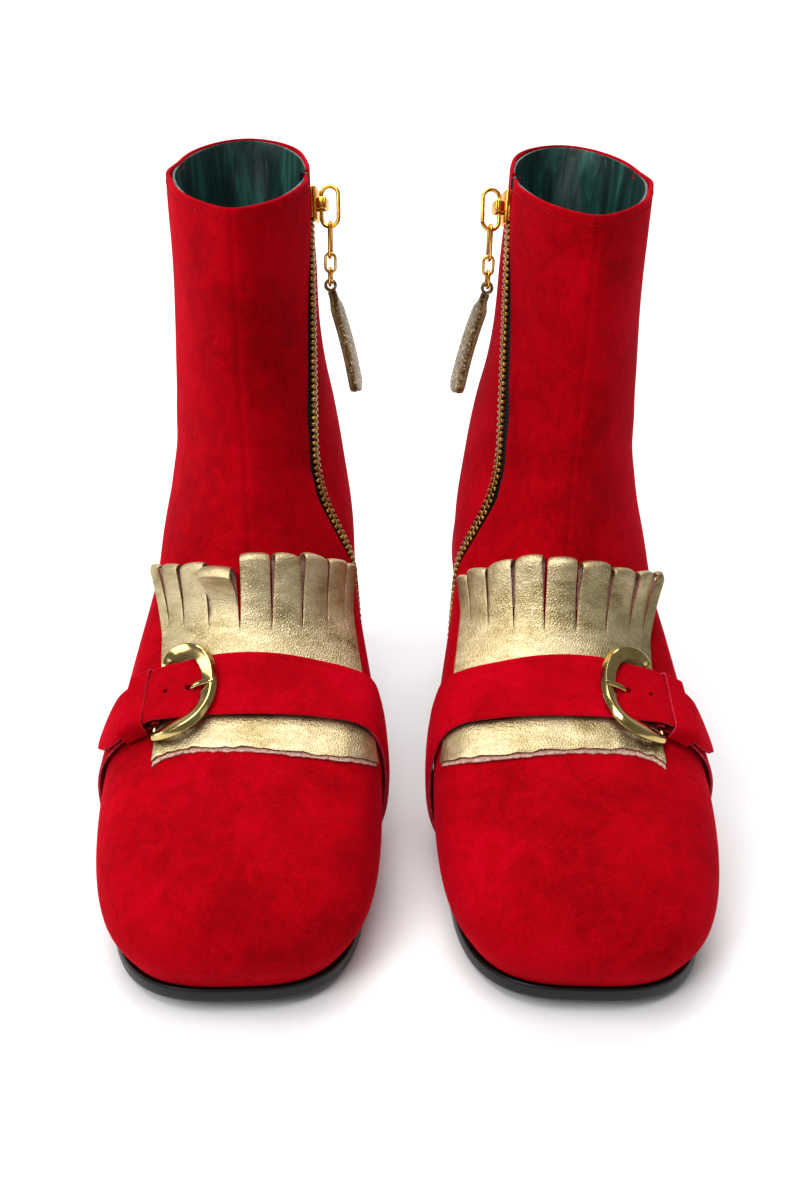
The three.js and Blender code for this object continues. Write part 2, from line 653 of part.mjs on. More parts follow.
const buckleProng = () => {
  const tongue = rod([
    onStrap(0, BAR_AT + 1.8, 4.3), onStrap(0, -27, 4.2), onStrap(0, HOLE_AT, 4.9),
    onStrap(0, -15, 7.9), onStrap(0, ARC_AT + 0.9, 8.7),
  ], PRONG_RADIUS);
  const eye = onBar(0, PRONG_EYE_WIDTH, PRONG_EYE);
  return cut(joined(eye, tongue), onBar(0, 60, BAR_CLEARANCE));
};

// ---- finishes -----------------------------------------------------------------------
const finish = (color, roughness, metalness = 0) =>
  new THREE.MeshStandardMaterial({ color, roughness, metalness });

const redSuede = finish(0xa8001c, 0.95);
const goldLeather = finish(0xc4b078, 0.45, 0.6);
const glitterLeather = finish(0x8a6f45, 0.5, 0.6);
const greenLeather = finish(0x17352f, 0.6);
const blackSole = finish(0x15140f, 0.6);
const blackTape = finish(0x121212, 0.9);
const paleGold = finish(0xd2bc82, 0.25, 1);
const brightGold = finish(0xd9a441, 0.25, 1);
const board = finish(0x9a7b55, 0.9);
const steel = finish(0x9a9a98, 0.4, 1);
const stiffener = finish(0xcfc6b4, 0.8);

// ---- a boot -------------------------------------------------------------------------
const SLIDER_FROM_RIM = 11;

function makeBoot(prefix) {
  const boot = new THREE.Group();
  const add = (name, geometry, material, parent = boot) => {
    const mesh = new THREE.Mesh(weld(geometry), material);
    mesh.name = `${prefix}_${name}`;
    parent.add(mesh);
    return mesh;
  };
  // A frame for a moving piece, at its pivot.
  const pivot = (name, position, quaternion) => {
    const frame = new THREE.Group();
    frame.name = `${prefix}_${name}_pivot`;
    frame.position.copy(position);
    frame.quaternion.copy(quaternion);
    boot.add(frame);
    return frame;
  };

  add('outsole', outsole(), blackSole);
  add('heel_block', heelBlock(), blackSole);
  add('top_lift', topLift(), blackSole);
  add('shank', shank(), steel);
  add('insole_board', insoleBoard(), board);
  add('sock_lining', sockLining(), greenLeather);

  add('vamp', cut(vamp(), overSole()), redSuede);
  add('quarter_lateral', cut(lateralQuarter(), overSole()), redSuede);
  add('quarter_medial', cut(medialQuarter(), overSole(), zipSlot()), redSuede);
  add('toe_puff', toePuff(), stiffener);
  add('heel_counter', heelCounter(), stiffener);
  add('vamp_lining', vampLining(), greenLeather);
  add('quarter_lining', cut(quarterLining(), zipSlot()), greenLeather);

  add('zip_tape_front', zipTape(1), blackTape);
  add('zip_tape_back', zipTape(-1), blackTape);
  add('zip_teeth_front', zipTeeth(1), brightGold);
  add('zip_teeth_back', zipTeeth(-1), brightGold);

  add('kiltie', kiltie(), goldLeather);
  add('strap', strap(), redSuede);
  add('chape', chape(), redSuede);
  add('strap_keeper', strapKeeper(), redSuede);
  add('buckle_frame', buckleFrame(), paleGold);
  add('buckle_prong', buckleProng(), paleGold);

  const up = new THREE.Vector3(0, 0, 1);
  const zipUp = zipDown.clone().negate();
  const alongZip = new THREE.Matrix4().makeBasis(zipOut, zipUp.clone().cross(zipOut), zipUp);
  const sliderAt = zipTop.clone().addScaledVector(zipDown, SLIDER_FROM_RIM);
  const sliderFrame = pivot('zip_slider', sliderAt, new THREE.Quaternion().setFromRotationMatrix(alongZip));
  add('zip_slider', slider(), brightGold, sliderFrame);

  // The ring's inner side runs through the slider's bridge and turns there.
  const ringAt = new THREE.Vector3(4, 0, 0).applyMatrix4(alongZip).add(sliderAt);
  const ringFrame = pivot('pull_ring', ringAt, sliderFrame.quaternion);
  const ringGeometry = link(RING.width, RING.length, RING.wire);
  const ringHigh = reachOf(RING) / 2 - 1;
  ringGeometry.translate(RING.width / 2 - RING.wire, 0, ringHigh);
  add('pull_ring', ringGeometry, brightGold, ringFrame);

  const outwards = zipOut.clone().projectOnPlane(up).normalize();
  const plumb = new THREE.Quaternion().setFromRotationMatrix(
    new THREE.Matrix4().makeBasis(outwards, up.clone().cross(outwards), up),
  );
  const hook = new THREE.Vector3(RING.width / 2 - RING.wire, 0, ringHigh - reachOf(RING))
    .applyQuaternion(sliderFrame.quaternion).add(ringAt);
  const chain = [
    ['long_link', RING, LONG_LINK, true],
    ['short_link', LONG_LINK, SHORT_LINK, false],
    ['tab_ring', SHORT_LINK, TAB_RING, true],
  ];
  for (const [name, upper, lower, edgeOn] of chain) {
    const geometry = link(lower.width, lower.length, lower.wire);
    if (edgeOn) geometry.rotateZ(Math.PI / 2);
    add(name, geometry.translate(0, 0, hang(upper, lower)), brightGold, pivot(name, hook, plumb));
    hook.z += hang(upper, lower) - reachOf(lower);
  }
  const lean = new THREE.Quaternion().setFromAxisAngle(new THREE.Vector3(0, 1, 0), degrees(-TAB_LEAN));
  add('pull_tab', pullTab(), glitterLeather, pivot('pull_tab', hook, plumb.clone().multiply(lean)));

  const barTurn = new THREE.Quaternion().setFromUnitVectors(
    new THREE.Vector3(0, 1, 0), barPoint(1).sub(barPoint(0)).normalize());
  pivot('buckle', barPoint(0), barTurn);
  return boot;
}

// ---- the pair -----------------------------------------------------------------------
// The left boot is the right one mirrored; each is turned about its own middle.
function stand(boot, side) {
  boot.position.set(0, -PIVOT_Y, 0);
  const mirrored = new THREE.Group().add(boot);
  mirrored.rotation.z = degrees(TOE_IN);
  mirrored.position.x = -BOOT_SPACING / 2;
  const placed = new THREE.Group().add(mirrored);
  placed.scale.x = side;
  return placed;
}

const pair = new THREE.Group();
pair.add(stand(makeBoot('right'), 1), stand(makeBoot('left'), -1));
const middle = new THREE.Box3().setFromObject(pair, true).getCenter(new THREE.Vector3());
pair.position.set(-middle.x, -middle.y, 0);
export default pair;
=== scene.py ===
# %% [markdown]
# A pair of suede ankle boots: a red shaft that zips on the inner side, a gold kiltie with
# a cut fringe held under a buckled strap, a green leather lining, a black sole and a block
# heel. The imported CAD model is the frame. Each soft piece is made again here as a fine
# surface on the same last, and each metal piece is modelled with Blender's own tools.

# %% Load the frame
import math

import bpy
import numpy as np
from mathutils import Matrix, Vector, noise


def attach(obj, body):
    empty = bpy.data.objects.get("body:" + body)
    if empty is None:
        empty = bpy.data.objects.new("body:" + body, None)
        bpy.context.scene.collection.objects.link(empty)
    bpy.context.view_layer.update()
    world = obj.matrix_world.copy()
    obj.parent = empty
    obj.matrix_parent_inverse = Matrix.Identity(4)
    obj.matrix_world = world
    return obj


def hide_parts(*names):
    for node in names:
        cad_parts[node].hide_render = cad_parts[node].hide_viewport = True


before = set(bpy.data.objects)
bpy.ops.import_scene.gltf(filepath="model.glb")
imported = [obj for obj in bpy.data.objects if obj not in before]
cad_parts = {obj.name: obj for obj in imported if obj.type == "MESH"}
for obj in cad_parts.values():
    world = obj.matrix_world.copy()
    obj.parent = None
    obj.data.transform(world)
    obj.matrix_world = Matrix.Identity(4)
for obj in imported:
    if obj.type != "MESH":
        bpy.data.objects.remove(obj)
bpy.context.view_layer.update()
SIDES = ("right", "left")

# %% [markdown]
# A shoe is built on a last, a solid foot shape. Everything soft lies on it, so its shape is
# written once, as thirteen sections from the seam at the sole (0) up to the rim (12). A
# free-form mesh would do for one boot, but a formula lets every layer, strap and stitch
# find its own place by asking for a section, an angle round it and a height over it.

# %% The last
BOOT_SPACING = 115.0  # millimetres, as all sizes of the last are
TOE_IN = math.radians(1.4)
PIVOT_Y = 120.0
PAIR_SHIFT = -4.58  # brings the middle of the pair's box to the origin
GAP = 0.3
SOLE = 5.0
WELT = 1.6
TOE_SPRING, TREAD_START, TREAD_END = 5.0, 45.0, 85.0
BREAST_Y, HEEL_BACK_Y = 182.0, 244.0
HEEL_SEAT, SEAT_RISE, TOP_LIFT = 50.0, 2.7, 6.0

# Each row: front y and z, back y and z, medial and lateral half width, x of the middle,
# the widest place as a share of the length, roundness of medial front, lateral front and back, waist.
SECTIONS = np.array([
    [4, 9.4, 244, 58, 40.5, 42, 0, 0.31, 3.2, 2.9, 2.5, 0.26],
    [1, 17, 246, 68, 46, 47, 0, 0.31, 3.2, 2.9, 2.5, 0.2],
    [3, 26, 247, 78, 47.5, 48, 0, 0.33, 3.1, 2.8, 2.5, 0.16],
    [12, 36, 247, 88, 46.5, 45.5, 0, 0.35, 2.8, 2.6, 2.4, 0.12],
    [33, 46, 246, 98, 43.5, 42, 0.5, 0.37, 2.5, 2.3, 2.3, 0.08],
    [58, 55, 244, 110, 39.5, 39, 1.5, 0.41, 2.3, 2.1, 2.2, 0.04],
    [82, 66, 242, 122, 36, 37, 2, 0.46, 2.2, 2.1, 2.2, 0],
    [102, 81, 240, 135, 33.5, 34.5, 2, 0.5, 2.1, 2.1, 2.1, 0],
    [118, 102, 239, 148, 31, 31.5, 1, 0.52, 1.9, 1.9, 2.1, 0],
    [128, 128, 240, 165, 28, 29.5, 0, 0.52, 1.75, 1.75, 2, 0],
    [134, 158, 243, 187, 26.5, 28, -1.5, 0.5, 1.7, 1.7, 2, 0],
    [137, 190, 246, 208, 25.5, 27, -2, 0.5, 1.7, 1.7, 2, 0],
    [137, 214, 248, 226, 25.5, 26.5, -2.5, 0.5, 1.7, 1.7, 2, 0],
])
RIM = len(SECTIONS) - 1
SHOULDER_DROP = 5.0  # the worn leather falls away on the outer side under the strap
print("sections", len(SECTIONS))

# %% [markdown]
# Two curves of the foot's own come next. The sole's underside springs up at the toe, lies
# flat under the ball, climbs the arch and levels out on the heel. The last's sections are
# joined by a spline, so that a section may be asked for at any height between two rows.


# %% The sole's curve and the sections between
def ease(x):
    x = np.clip(x, 0, 1)
    return x * x * (3 - 2 * x)


def sole_underside(y):
    spring = TOE_SPRING * np.clip(1 - y / TREAD_START, 0, None) ** 2
    arch = HEEL_SEAT * ease((y - TREAD_END) / (BREAST_Y - 2 - TREAD_END))
    seat = SEAT_RISE * np.clip((y - BREAST_Y) / (HEEL_BACK_Y - BREAST_Y), 0, 1)
    return spring + arch + seat


def feather(y):
    return sole_underside(y) + SOLE + GAP


def section(t):
    t = np.asarray(t, float)
    i = np.clip(np.floor(t).astype(int), 0, RIM - 1)
    f = (t - i)[..., None]
    p0, p1, p2, p3 = (SECTIONS[np.clip(i + k, 0, RIM)] for k in (-1, 0, 1, 2))
    slope = (p2 - p0) / 2
    bend = p0 - 2.5 * p1 + 2 * p2 - 0.5 * p3
    twist = (3 * p1 - p0 - 3 * p2 + p3) / 2
    return np.moveaxis(p1 + f * (slope + f * (bend + f * twist)), -1, 0)


print("arch height", sole_underside(BREAST_Y).round(1), "mm")

# %% [markdown]
# A point on the last is a section and an angle round it. Each quarter of a section is a
# superellipse with its own power, which is what makes a square toe and a round heel. From
# the point and its normal, skin() finds any layer that lies a little over or under it.


# %% Points on the last
def last_point(t, psi):
    """The last's point in section t at angle psi: 0 is the front, +90 degrees medial."""
    t, psi = np.broadcast_arrays(np.asarray(t, float), np.asarray(psi, float))
    yf, zf, yb, zb, medial, lateral, middle, widest, pm, pl, pb, waist = section(t)
    c, s = np.cos(psi), np.sin(psi)
    power = np.where(c < 0, pb, np.where(s >= 0, pm, pl))
    reach = (np.abs(c) ** power + np.abs(s) ** power) ** (-1 / power)
    along = np.where(c >= 0, widest * (1 - reach * c), widest - (1 - widest) * reach * c)
    y = yf + (yb - yf) * along
    seam = SECTIONS[0]
    straight = seam[1] + (seam[3] - seam[1]) * (y - seam[0]) / (seam[2] - seam[0])
    fade = np.clip(1 - t / 4.5, 0, 1) ** 1.5
    z = zf + (zb - zf) * along + fade * (feather(y) - straight)
    draw_in = waist * np.exp(-(((y - 150) / 38) ** 2))
    half = np.where(s >= 0, medial * (1 - 1.15 * draw_in), lateral * (1 - 0.85 * draw_in))
    x = middle + reach * s * half
    side = ease((-x - 8) / 34) * np.exp(-(((y - 86) / 27) ** 2)) * ease((t - 2) / 1.6)
    return np.stack([x, y, z - SHOULDER_DROP * side], -1)


def last_normal(t, psi):
    t, psi = np.broadcast_arrays(np.asarray(t, float), np.asarray(psi, float))
    step = 0.02
    around = last_point(t, psi + step) - last_point(t, psi - step)
    low = np.clip(t - step, 0, RIM - 2 * step)
    up = last_point(low + 2 * step, psi) - last_point(low, psi)
    normal = np.cross(around, up)
    return normal / np.linalg.norm(normal, axis=-1, keepdims=True)


def skin(t, psi, offset):
    return last_point(t, psi) + last_normal(t, psi) * np.asarray(offset, float)[..., None]


def angle_at_y(t, y, side):
    """The angle at which section t passes y, on the medial (+1) or lateral (-1) side."""
    yf, _, yb, _, _, _, _, widest, pm, pl, pb, _ = section(t)
    along = np.clip((y - yf) / (yb - yf), 0, 1)
    front = along <= widest
    a = np.where(front, 1 - along / widest, (along - widest) / (1 - widest))
    power = np.where(front, pm if side > 0 else pl, pb)
    w = np.clip(1 - np.clip(a, 0, 1) ** power, 0, 1) ** (1 / power)
    return side * np.arctan2(w, np.where(front, a, -a))


def to_frame(points):
    """Points of the right boot in millimetres, moved into the shared frame in metres."""
    points = np.asarray(points, float)
    x, y, z = points[..., 0], points[..., 1] - PIVOT_Y, points[..., 2]
    c, s = math.cos(TOE_IN), math.sin(TOE_IN)
    moved = [x * c - y * s - BOOT_SPACING / 2, x * s + y * c + PAIR_SHIFT, z]
    return np.stack(moved, -1) / 1000


# %% [markdown]
# Most pieces of a shoe are cut from sheet, so one maker turns a grid of points into a mesh
# and a Solidify modifier gives it its thickness, inwards. The rim that Solidify adds is the
# cut edge of the leather, which shows its own colour where it isn't turned in, so it can
# have its own material. Operators act on all that is selected, so helpers select first.


# %% Making meshes
def deselect():
    bpy.ops.object.select_all(action="DESELECT")


def only(piece):
    deselect()
    piece.select_set(True)
    bpy.context.view_layer.objects.active = piece
    return piece


def mesh_object(name, points, faces, materials):
    mesh = bpy.data.meshes.new(name)
    mesh.from_pydata([tuple(p) for p in points], [], faces)
    for material in materials:
        mesh.materials.append(material)
    mesh.validate()
    piece = bpy.data.objects.new(name, mesh)
    bpy.context.scene.collection.objects.link(piece)
    return piece


def sheet_grid(name, points, materials, wrap=False, keep=None):
    """A sheet on rows x columns of points in millimetres; keep says which faces it has."""
    rows, columns = points.shape[:2]
    faces = []
    for j in range(rows - 1):
        for i in range(columns if wrap else columns - 1):
            if keep is None or keep[j, i]:
                n = (i + 1) % columns
                faces.append((j * columns + i, j * columns + n,
                              (j + 1) * columns + n, (j + 1) * columns + i))
    piece = mesh_object(name, to_frame(points).reshape(-1, 3), faces, materials)
    only(piece)
    bpy.ops.object.mode_set(mode="EDIT")
    bpy.ops.mesh.select_all(action="SELECT")
    bpy.ops.mesh.delete_loose()
    bpy.ops.mesh.select_all(action="SELECT")
    bpy.ops.mesh.remove_doubles(threshold=2e-6)
    bpy.ops.object.mode_set(mode="OBJECT")
    return piece


def turn_outwards(piece):
    """Points all faces of a closed mesh outwards."""
    only(piece)
    bpy.ops.object.mode_set(mode="EDIT")
    bpy.ops.mesh.select_all(action="SELECT")
    bpy.ops.mesh.normals_make_consistent(inside=False)
    bpy.ops.object.mode_set(mode="OBJECT")


def select_vertices(piece, test):
    """Selects the vertices whose place passes a test and stays in edit mode."""
    only(piece)
    bpy.ops.object.mode_set(mode="EDIT")
    bpy.ops.mesh.select_all(action="DESELECT")
    bpy.ops.object.mode_set(mode="OBJECT")
    for vertex in piece.data.vertices:
        vertex.select = test(vertex.co)
    bpy.ops.object.mode_set(mode="EDIT")


def apply_modifier(piece, kind, **settings):
    only(piece)
    modifier = piece.modifiers.new(kind.title(), kind)
    for key, value in settings.items():
        setattr(modifier, key, value)
    bpy.ops.object.modifier_apply(modifier=modifier.name)
    return piece


def thicken(piece, thickness, edge_round=0.3, rim=0, back=0):
    """Gives a sheet its thickness inwards and rounds its cut edges, in millimetres."""
    apply_modifier(piece, "SOLIDIFY", thickness=thickness / 1000, offset=-1,
                   material_offset_rim=rim, material_offset=back)
    if edge_round:
        apply_modifier(piece, "BEVEL", width=edge_round / 1000, segments=2,
                       limit_method="ANGLE", angle_limit=math.radians(55))
    return piece


def smooth(piece, angle=50):
    only(piece)
    bpy.ops.object.shade_smooth_by_angle(angle=math.radians(angle))
    return piece


# %% [markdown]
# The left boot is the right one seen in a mirror. A mirrored copy has x negated, which
# turns its faces inside out, so they are turned back. A piece then says which body it
# moves with and which nodes of the CAD model it stands for.


# %% The two boots
def mirrored(piece, name):
    """A copy for the left boot, with its own mesh."""
    twin = bpy.data.objects.new(name, piece.data.copy())
    bpy.context.scene.collection.objects.link(twin)
    twin.data.transform(Matrix.Diagonal((-1, 1, 1, 1)))
    twin.data.flip_normals()
    return twin


def wear(piece, side, body, slot, *nodes):
    """Puts a piece on one boot: its body and the CAD nodes it stands for. The slot is not used."""
    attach(piece, f"{side}_{body}")
    if nodes:
        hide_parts(*[f"{side}_{node}" for node in nodes])


def wear_both(piece, body, slot, *nodes):
    name = piece.name.replace("right_", "left_")
    wear(mirrored(piece, name), "left", body, slot, *nodes)
    wear(piece, "right", body, slot, *nodes)
    print(piece.name, len(piece.data.polygons), "faces")


# %% [markdown]
# A finish starts from what the real surface is. Colours are written as sRGB hex values, as
# a picker shows them, and turned to the linear values that shaders use. One helper adds a
# node with its settings and links, so that each material reads as a short list.


# %% Colour and node helpers
def linear(code):
    channels = [int(code[k:k + 2], 16) / 255 for k in (1, 3, 5)]
    return [c / 12.92 if c <= 0.04045 else ((c + 0.055) / 1.055) ** 2.4 for c in channels] + [1]


def node(tree, kind, inputs=None, **settings):
    """Adds a node; an input's value is a number, a colour or another node's output."""
    made = tree.nodes.new(kind)
    for key, value in settings.items():
        setattr(made, key, value)
    for key, value in (inputs or {}).items():
        if isinstance(value, bpy.types.NodeSocket):
            tree.links.new(value, made.inputs[key])
        else:
            made.inputs[key].default_value = value
    return made


def finish(name, **values):
    """A new material: its tree, its shader and the piece's Object coordinates."""
    material = bpy.data.materials.new(name)
    material.use_nodes = True
    tree = material.node_tree
    shader = tree.nodes["Principled BSDF"]
    for key, value in values.items():
        shader.inputs[key.replace("_", " ")].default_value = value
    place = node(tree, "ShaderNodeTexCoord").outputs["Object"]
    return material, tree, shader, place


def ramp(tree, factor, *stops):
    """A colour ramp through (position, hex colour) stops; returns its colour."""
    made = node(tree, "ShaderNodeValToRGB", {"Fac": factor})
    elements = made.color_ramp.elements
    while len(elements) < len(stops):
        elements.new(0.5)
    for element, (position, code) in zip(elements, stops):
        element.position = position
        element.color = linear(code)
    return made.outputs["Color"]


def per_mm(size):
    """The scale of a pattern on Object coordinates whose features are size mm."""
    return 1000 / size


# %% [markdown]
# Suede is the flesh side of the hide, brushed to a short nap. Fibres lying one way look
# deep red and those lying the other way look brighter, so the colour is mottled in soft
# patches, and at a grazing view the fibre tips catch light, which is what sheen is for.
# The nap itself, near 0.3 mm, is drawn at 0.8 mm because finer grain would not show.


# %% Suede
def suede(name, deep, middle, bright, edge_shade="#6c0009"):
    material, tree, shader, place = finish(
        name, Roughness=0.95, IOR=1.45, Specular_IOR_Level=0.04,
        Sheen_Weight=0.3, Sheen_Roughness=0.5, Sheen_Tint=linear("#ff0a38"))
    patches = node(tree, "ShaderNodeTexNoise", {
        "Vector": place, "Scale": per_mm(34), "Detail": 3.0, "Roughness": 0.6})
    brushed = node(tree, "ShaderNodeTexNoise", {
        "Vector": place, "Scale": per_mm(7), "Detail": 4.0, "Roughness": 0.65,
        "Distortion": 1.2})
    nap = node(tree, "ShaderNodeTexNoise", {
        "Vector": place, "Scale": per_mm(0.8), "Detail": 2.0})
    both = node(tree, "ShaderNodeMix", {
        "Factor": 0.4, "A": patches.outputs["Fac"], "B": brushed.outputs["Fac"]})
    with_nap = node(tree, "ShaderNodeMix", {
        "Factor": 0.22, "A": both.outputs["Result"], "B": nap.outputs["Fac"]})
    colour = ramp(tree, with_nap.outputs["Result"],
                  (0.26, edge_shade), (0.41, deep), (0.53, middle), (0.68, bright))
    tree.links.new(colour, shader.inputs["Base Color"])
    low = node(tree, "ShaderNodeBump", {
        "Height": brushed.outputs["Fac"], "Strength": 0.25, "Distance": 0.0008})
    fine = node(tree, "ShaderNodeBump", {
        "Height": nap.outputs["Fac"], "Strength": 0.5, "Distance": 0.0003,
        "Normal": low.outputs["Normal"]})
    tree.links.new(fine.outputs["Normal"], shader.inputs["Normal"])
    return material


red_suede = suede("brushed_red_suede", "#860006", "#a0000b", "#b90018")
strap_suede = suede("strap_red_suede", "#94000a", "#aa0010", "#bd001c")
print(red_suede.name, strap_suede.name)

# %% [markdown]
# The raw edge of red suede is dyed less deeply than its face. The kiltie's cut edge shows
# brown foil backing over pale pink flesh. Both are plain fibres with little gloss.


# %% Cut edges
def raw_edge(name, dark, light, grain=0.9):
    material, tree, shader, place = finish(name, Roughness=0.95, Specular_IOR_Level=0.1)
    fibres = node(tree, "ShaderNodeTexNoise", {
        "Vector": place, "Scale": per_mm(grain), "Detail": 3.0})
    colour = ramp(tree, fibres.outputs["Fac"], (0.35, dark), (0.65, light))
    tree.links.new(colour, shader.inputs["Base Color"])
    bump = node(tree, "ShaderNodeBump", {
        "Height": fibres.outputs["Fac"], "Strength": 0.6, "Distance": 0.0003})
    tree.links.new(bump.outputs["Normal"], shader.inputs["Normal"])
    return material


red_edge = raw_edge("cut_suede_edge", "#a50f20", "#cc3a50")
brown_edge = raw_edge("cut_foil_leather_edge", "#6a3d26", "#96644a")
pale_flesh = raw_edge("pale_leather_flesh", "#a87c6c", "#d2ada0")
print(red_edge.name, brown_edge.name, pale_flesh.name)

# %% [markdown]
# Foil leather is a metal film pressed on a grained hide. The film follows the pores, so
# it shines like brushed metal broken up by a fine pebble of about 1 mm, with short creases
# across it where it bends. The colour is painted darker along the creases, as shade in them.


# %% Gold foil leather
def foil_leather(name, dark, middle, bright, pebble=0.9, crease=3.2):
    material, tree, shader, place = finish(name, Metallic=0.95, Roughness=0.45)
    grain = node(tree, "ShaderNodeTexVoronoi", {
        "Vector": place, "Scale": per_mm(pebble)}, feature="DISTANCE_TO_EDGE")
    turned = node(tree, "ShaderNodeMapping", {
        "Vector": place, "Scale": (0.28, 0.9, 1.0)})
    creases = node(tree, "ShaderNodeTexNoise", {
        "Vector": turned.outputs["Vector"], "Scale": per_mm(crease), "Detail": 5.0,
        "Roughness": 0.7, "Distortion": 0.8})
    clouds = node(tree, "ShaderNodeTexNoise", {
        "Vector": place, "Scale": per_mm(14), "Detail": 2.0})
    both = node(tree, "ShaderNodeMix", {
        "Factor": 0.5, "A": creases.outputs["Fac"], "B": clouds.outputs["Fac"]})
    # Painted shade: the crease noise is low in the bump's dents, so the colour is darker there.
    colour = ramp(tree, both.outputs["Result"],
                  (0.32, dark), (0.45, middle), (0.6, bright))
    tree.links.new(colour, shader.inputs["Base Color"])
    rough = node(tree, "ShaderNodeMapRange", {
        "Value": clouds.outputs["Fac"], "From Min": 0.3, "From Max": 0.7,
        "To Min": 0.36, "To Max": 0.52})
    tree.links.new(rough.outputs["Result"], shader.inputs["Roughness"])
    pores = node(tree, "ShaderNodeBump", {
        "Height": grain.outputs["Distance"], "Strength": 0.75, "Distance": 0.0003})
    bent = node(tree, "ShaderNodeBump", {
        "Height": creases.outputs["Fac"], "Strength": 0.45, "Distance": 0.0006,
        "Normal": pores.outputs["Normal"]})
    tree.links.new(bent.outputs["Normal"], shader.inputs["Normal"])
    return material


gold_leather = foil_leather("gold_foil_leather", "#85734c", "#ad9c72", "#cbbb95")
print(gold_leather.name)

# %% [markdown]
# Glitter leather is coated with loose metal flakes in lacquer. Each flake is flat and tilts
# its own way, so a cell pattern gives every flake its own colour and its own slope.


# %% Glitter leather
def glitter_leather(name, flake=0.7):
    material, tree, shader, place = finish(name, Metallic=0.85, Roughness=0.35)
    flakes = node(tree, "ShaderNodeTexVoronoi", {"Vector": place, "Scale": per_mm(flake)})
    tone = node(tree, "ShaderNodeSeparateColor", {"Color": flakes.outputs["Color"]})
    colour = ramp(tree, tone.outputs["Red"],
                  (0.0, "#4a3a28"), (0.5, "#7d6844"), (0.85, "#a18a5b"), (1.0, "#e6d7ac"))
    tree.links.new(colour, shader.inputs["Base Color"])
    bump = node(tree, "ShaderNodeBump", {
        "Height": tone.outputs["Green"], "Strength": 0.7, "Distance": 0.0003})
    tree.links.new(bump.outputs["Normal"], shader.inputs["Normal"])
    return material


glitter = glitter_leather("gold_glitter_leather")
tab_back = raw_edge("brown_tab_leather", "#6b5238", "#8d7350", 1.4)
print(glitter.name, tab_back.name)

# %% [markdown]
# Lining leather is thin, smooth and dyed dark green. It is glued only at its edges, so it
# creases down the leg, and pale streaks of light along the creases are painted into its colour.


# %% Lining leather
def lining_finish(name):
    material, tree, shader, place = finish(name, Roughness=0.42, IOR=1.5)
    stretched = node(tree, "ShaderNodeMapping", {"Vector": place, "Scale": (1, 1, 0.22)})
    folds = node(tree, "ShaderNodeTexNoise", {
        "Vector": stretched.outputs["Vector"], "Scale": per_mm(7), "Detail": 3.0,
        "Distortion": 0.7})
    pores = node(tree, "ShaderNodeTexNoise", {
        "Vector": place, "Scale": per_mm(1.2), "Detail": 3.0})
    # Painted highlight: the colour is paler where the fold noise is high, on the bump's crests.
    colour = ramp(tree, folds.outputs["Fac"],
                  (0.35, "#0c2522"), (0.52, "#153a35"), (0.66, "#2c5f57"))
    tree.links.new(colour, shader.inputs["Base Color"])
    folded = node(tree, "ShaderNodeBump", {
        "Height": folds.outputs["Fac"], "Strength": 0.7, "Distance": 0.002})
    grained = node(tree, "ShaderNodeBump", {
        "Height": pores.outputs["Fac"], "Strength": 0.2, "Distance": 0.0002,
        "Normal": folded.outputs["Normal"]})
    tree.links.new(grained.outputs["Normal"], shader.inputs["Normal"])
    return material


green_lining = lining_finish("green_lining_leather")
print(green_lining.name)

# %% [markdown]
# The plain finishes share one recipe: two close colours mixed by a noise of the surface's
# own size, a little change of gloss, and a shallow bump. What differs is the real material
# behind the numbers: waxed sole leather, rubber, fibreboard, thread and bare steel. The
# zip's tape is woven, so bands a thread wide run across it instead.


# %% Plain finishes
def plain(name, dark, light, size, roughness, bump, **values):
    material, tree, shader, place = finish(name, Roughness=roughness, **values)
    pattern = node(tree, "ShaderNodeTexNoise", {
        "Vector": place, "Scale": per_mm(size), "Detail": 4.0, "Roughness": 0.6})
    colour = ramp(tree, pattern.outputs["Fac"], (0.35, dark), (0.65, light))
    tree.links.new(colour, shader.inputs["Base Color"])
    gloss = node(tree, "ShaderNodeMapRange", {
        "Value": pattern.outputs["Fac"], "To Min": roughness * 0.8,
        "To Max": min(roughness * 1.25, 1.0)})
    tree.links.new(gloss.outputs["Result"], shader.inputs["Roughness"])
    relief = node(tree, "ShaderNodeBump", {
        "Height": pattern.outputs["Fac"], "Strength": 0.4, "Distance": bump / 1000})
    tree.links.new(relief.outputs["Normal"], shader.inputs["Normal"])
    return material


def woven_tape(name, thread=0.7):
    material, tree, shader, place = finish(name, Roughness=0.9, Specular_IOR_Level=0.2)
    across = node(tree, "ShaderNodeTexWave", {
        "Vector": place, "Scale": per_mm(thread) / (2 * math.pi)}, bands_direction="Z")
    colour = ramp(tree, across.outputs["Fac"], (0.2, "#070708"), (0.8, "#1b1a1c"))
    tree.links.new(colour, shader.inputs["Base Color"])
    relief = node(tree, "ShaderNodeBump", {
        "Height": across.outputs["Fac"], "Strength": 0.6, "Distance": 0.0002})
    tree.links.new(relief.outputs["Normal"], shader.inputs["Normal"])
    return material


black_sole = plain("waxed_black_sole_edge", "#040403", "#0a0909", 2.5, 0.36, 0.15,
                   Specular_IOR_Level=0.3)
heel_black = plain("black_heel_leather", "#0d0c0b", "#1c1a18", 1.2, 0.4, 0.12)
lift_rubber = plain("black_lift_rubber", "#0a0a0a", "#151515", 0.9, 0.75, 0.1)
fibreboard = plain("insole_fibreboard", "#8a6b48", "#a98a62", 1.5, 0.9, 0.15)
puff_board = plain("pale_stiffener", "#bdb29c", "#d5ccba", 2.0, 0.8, 0.1)
spring_steel = plain("rolled_spring_steel", "#7f7f7e", "#a5a5a3", 3.0, 0.35, 0.05,
                     Metallic=1.0)
zip_fabric = woven_tape("black_zip_tape")
red_thread = plain("red_thread", "#78000a", "#980010", 0.6, 0.9, 0.1,
                   Specular_IOR_Level=0.1)
print("finishes so far", len(bpy.data.materials))

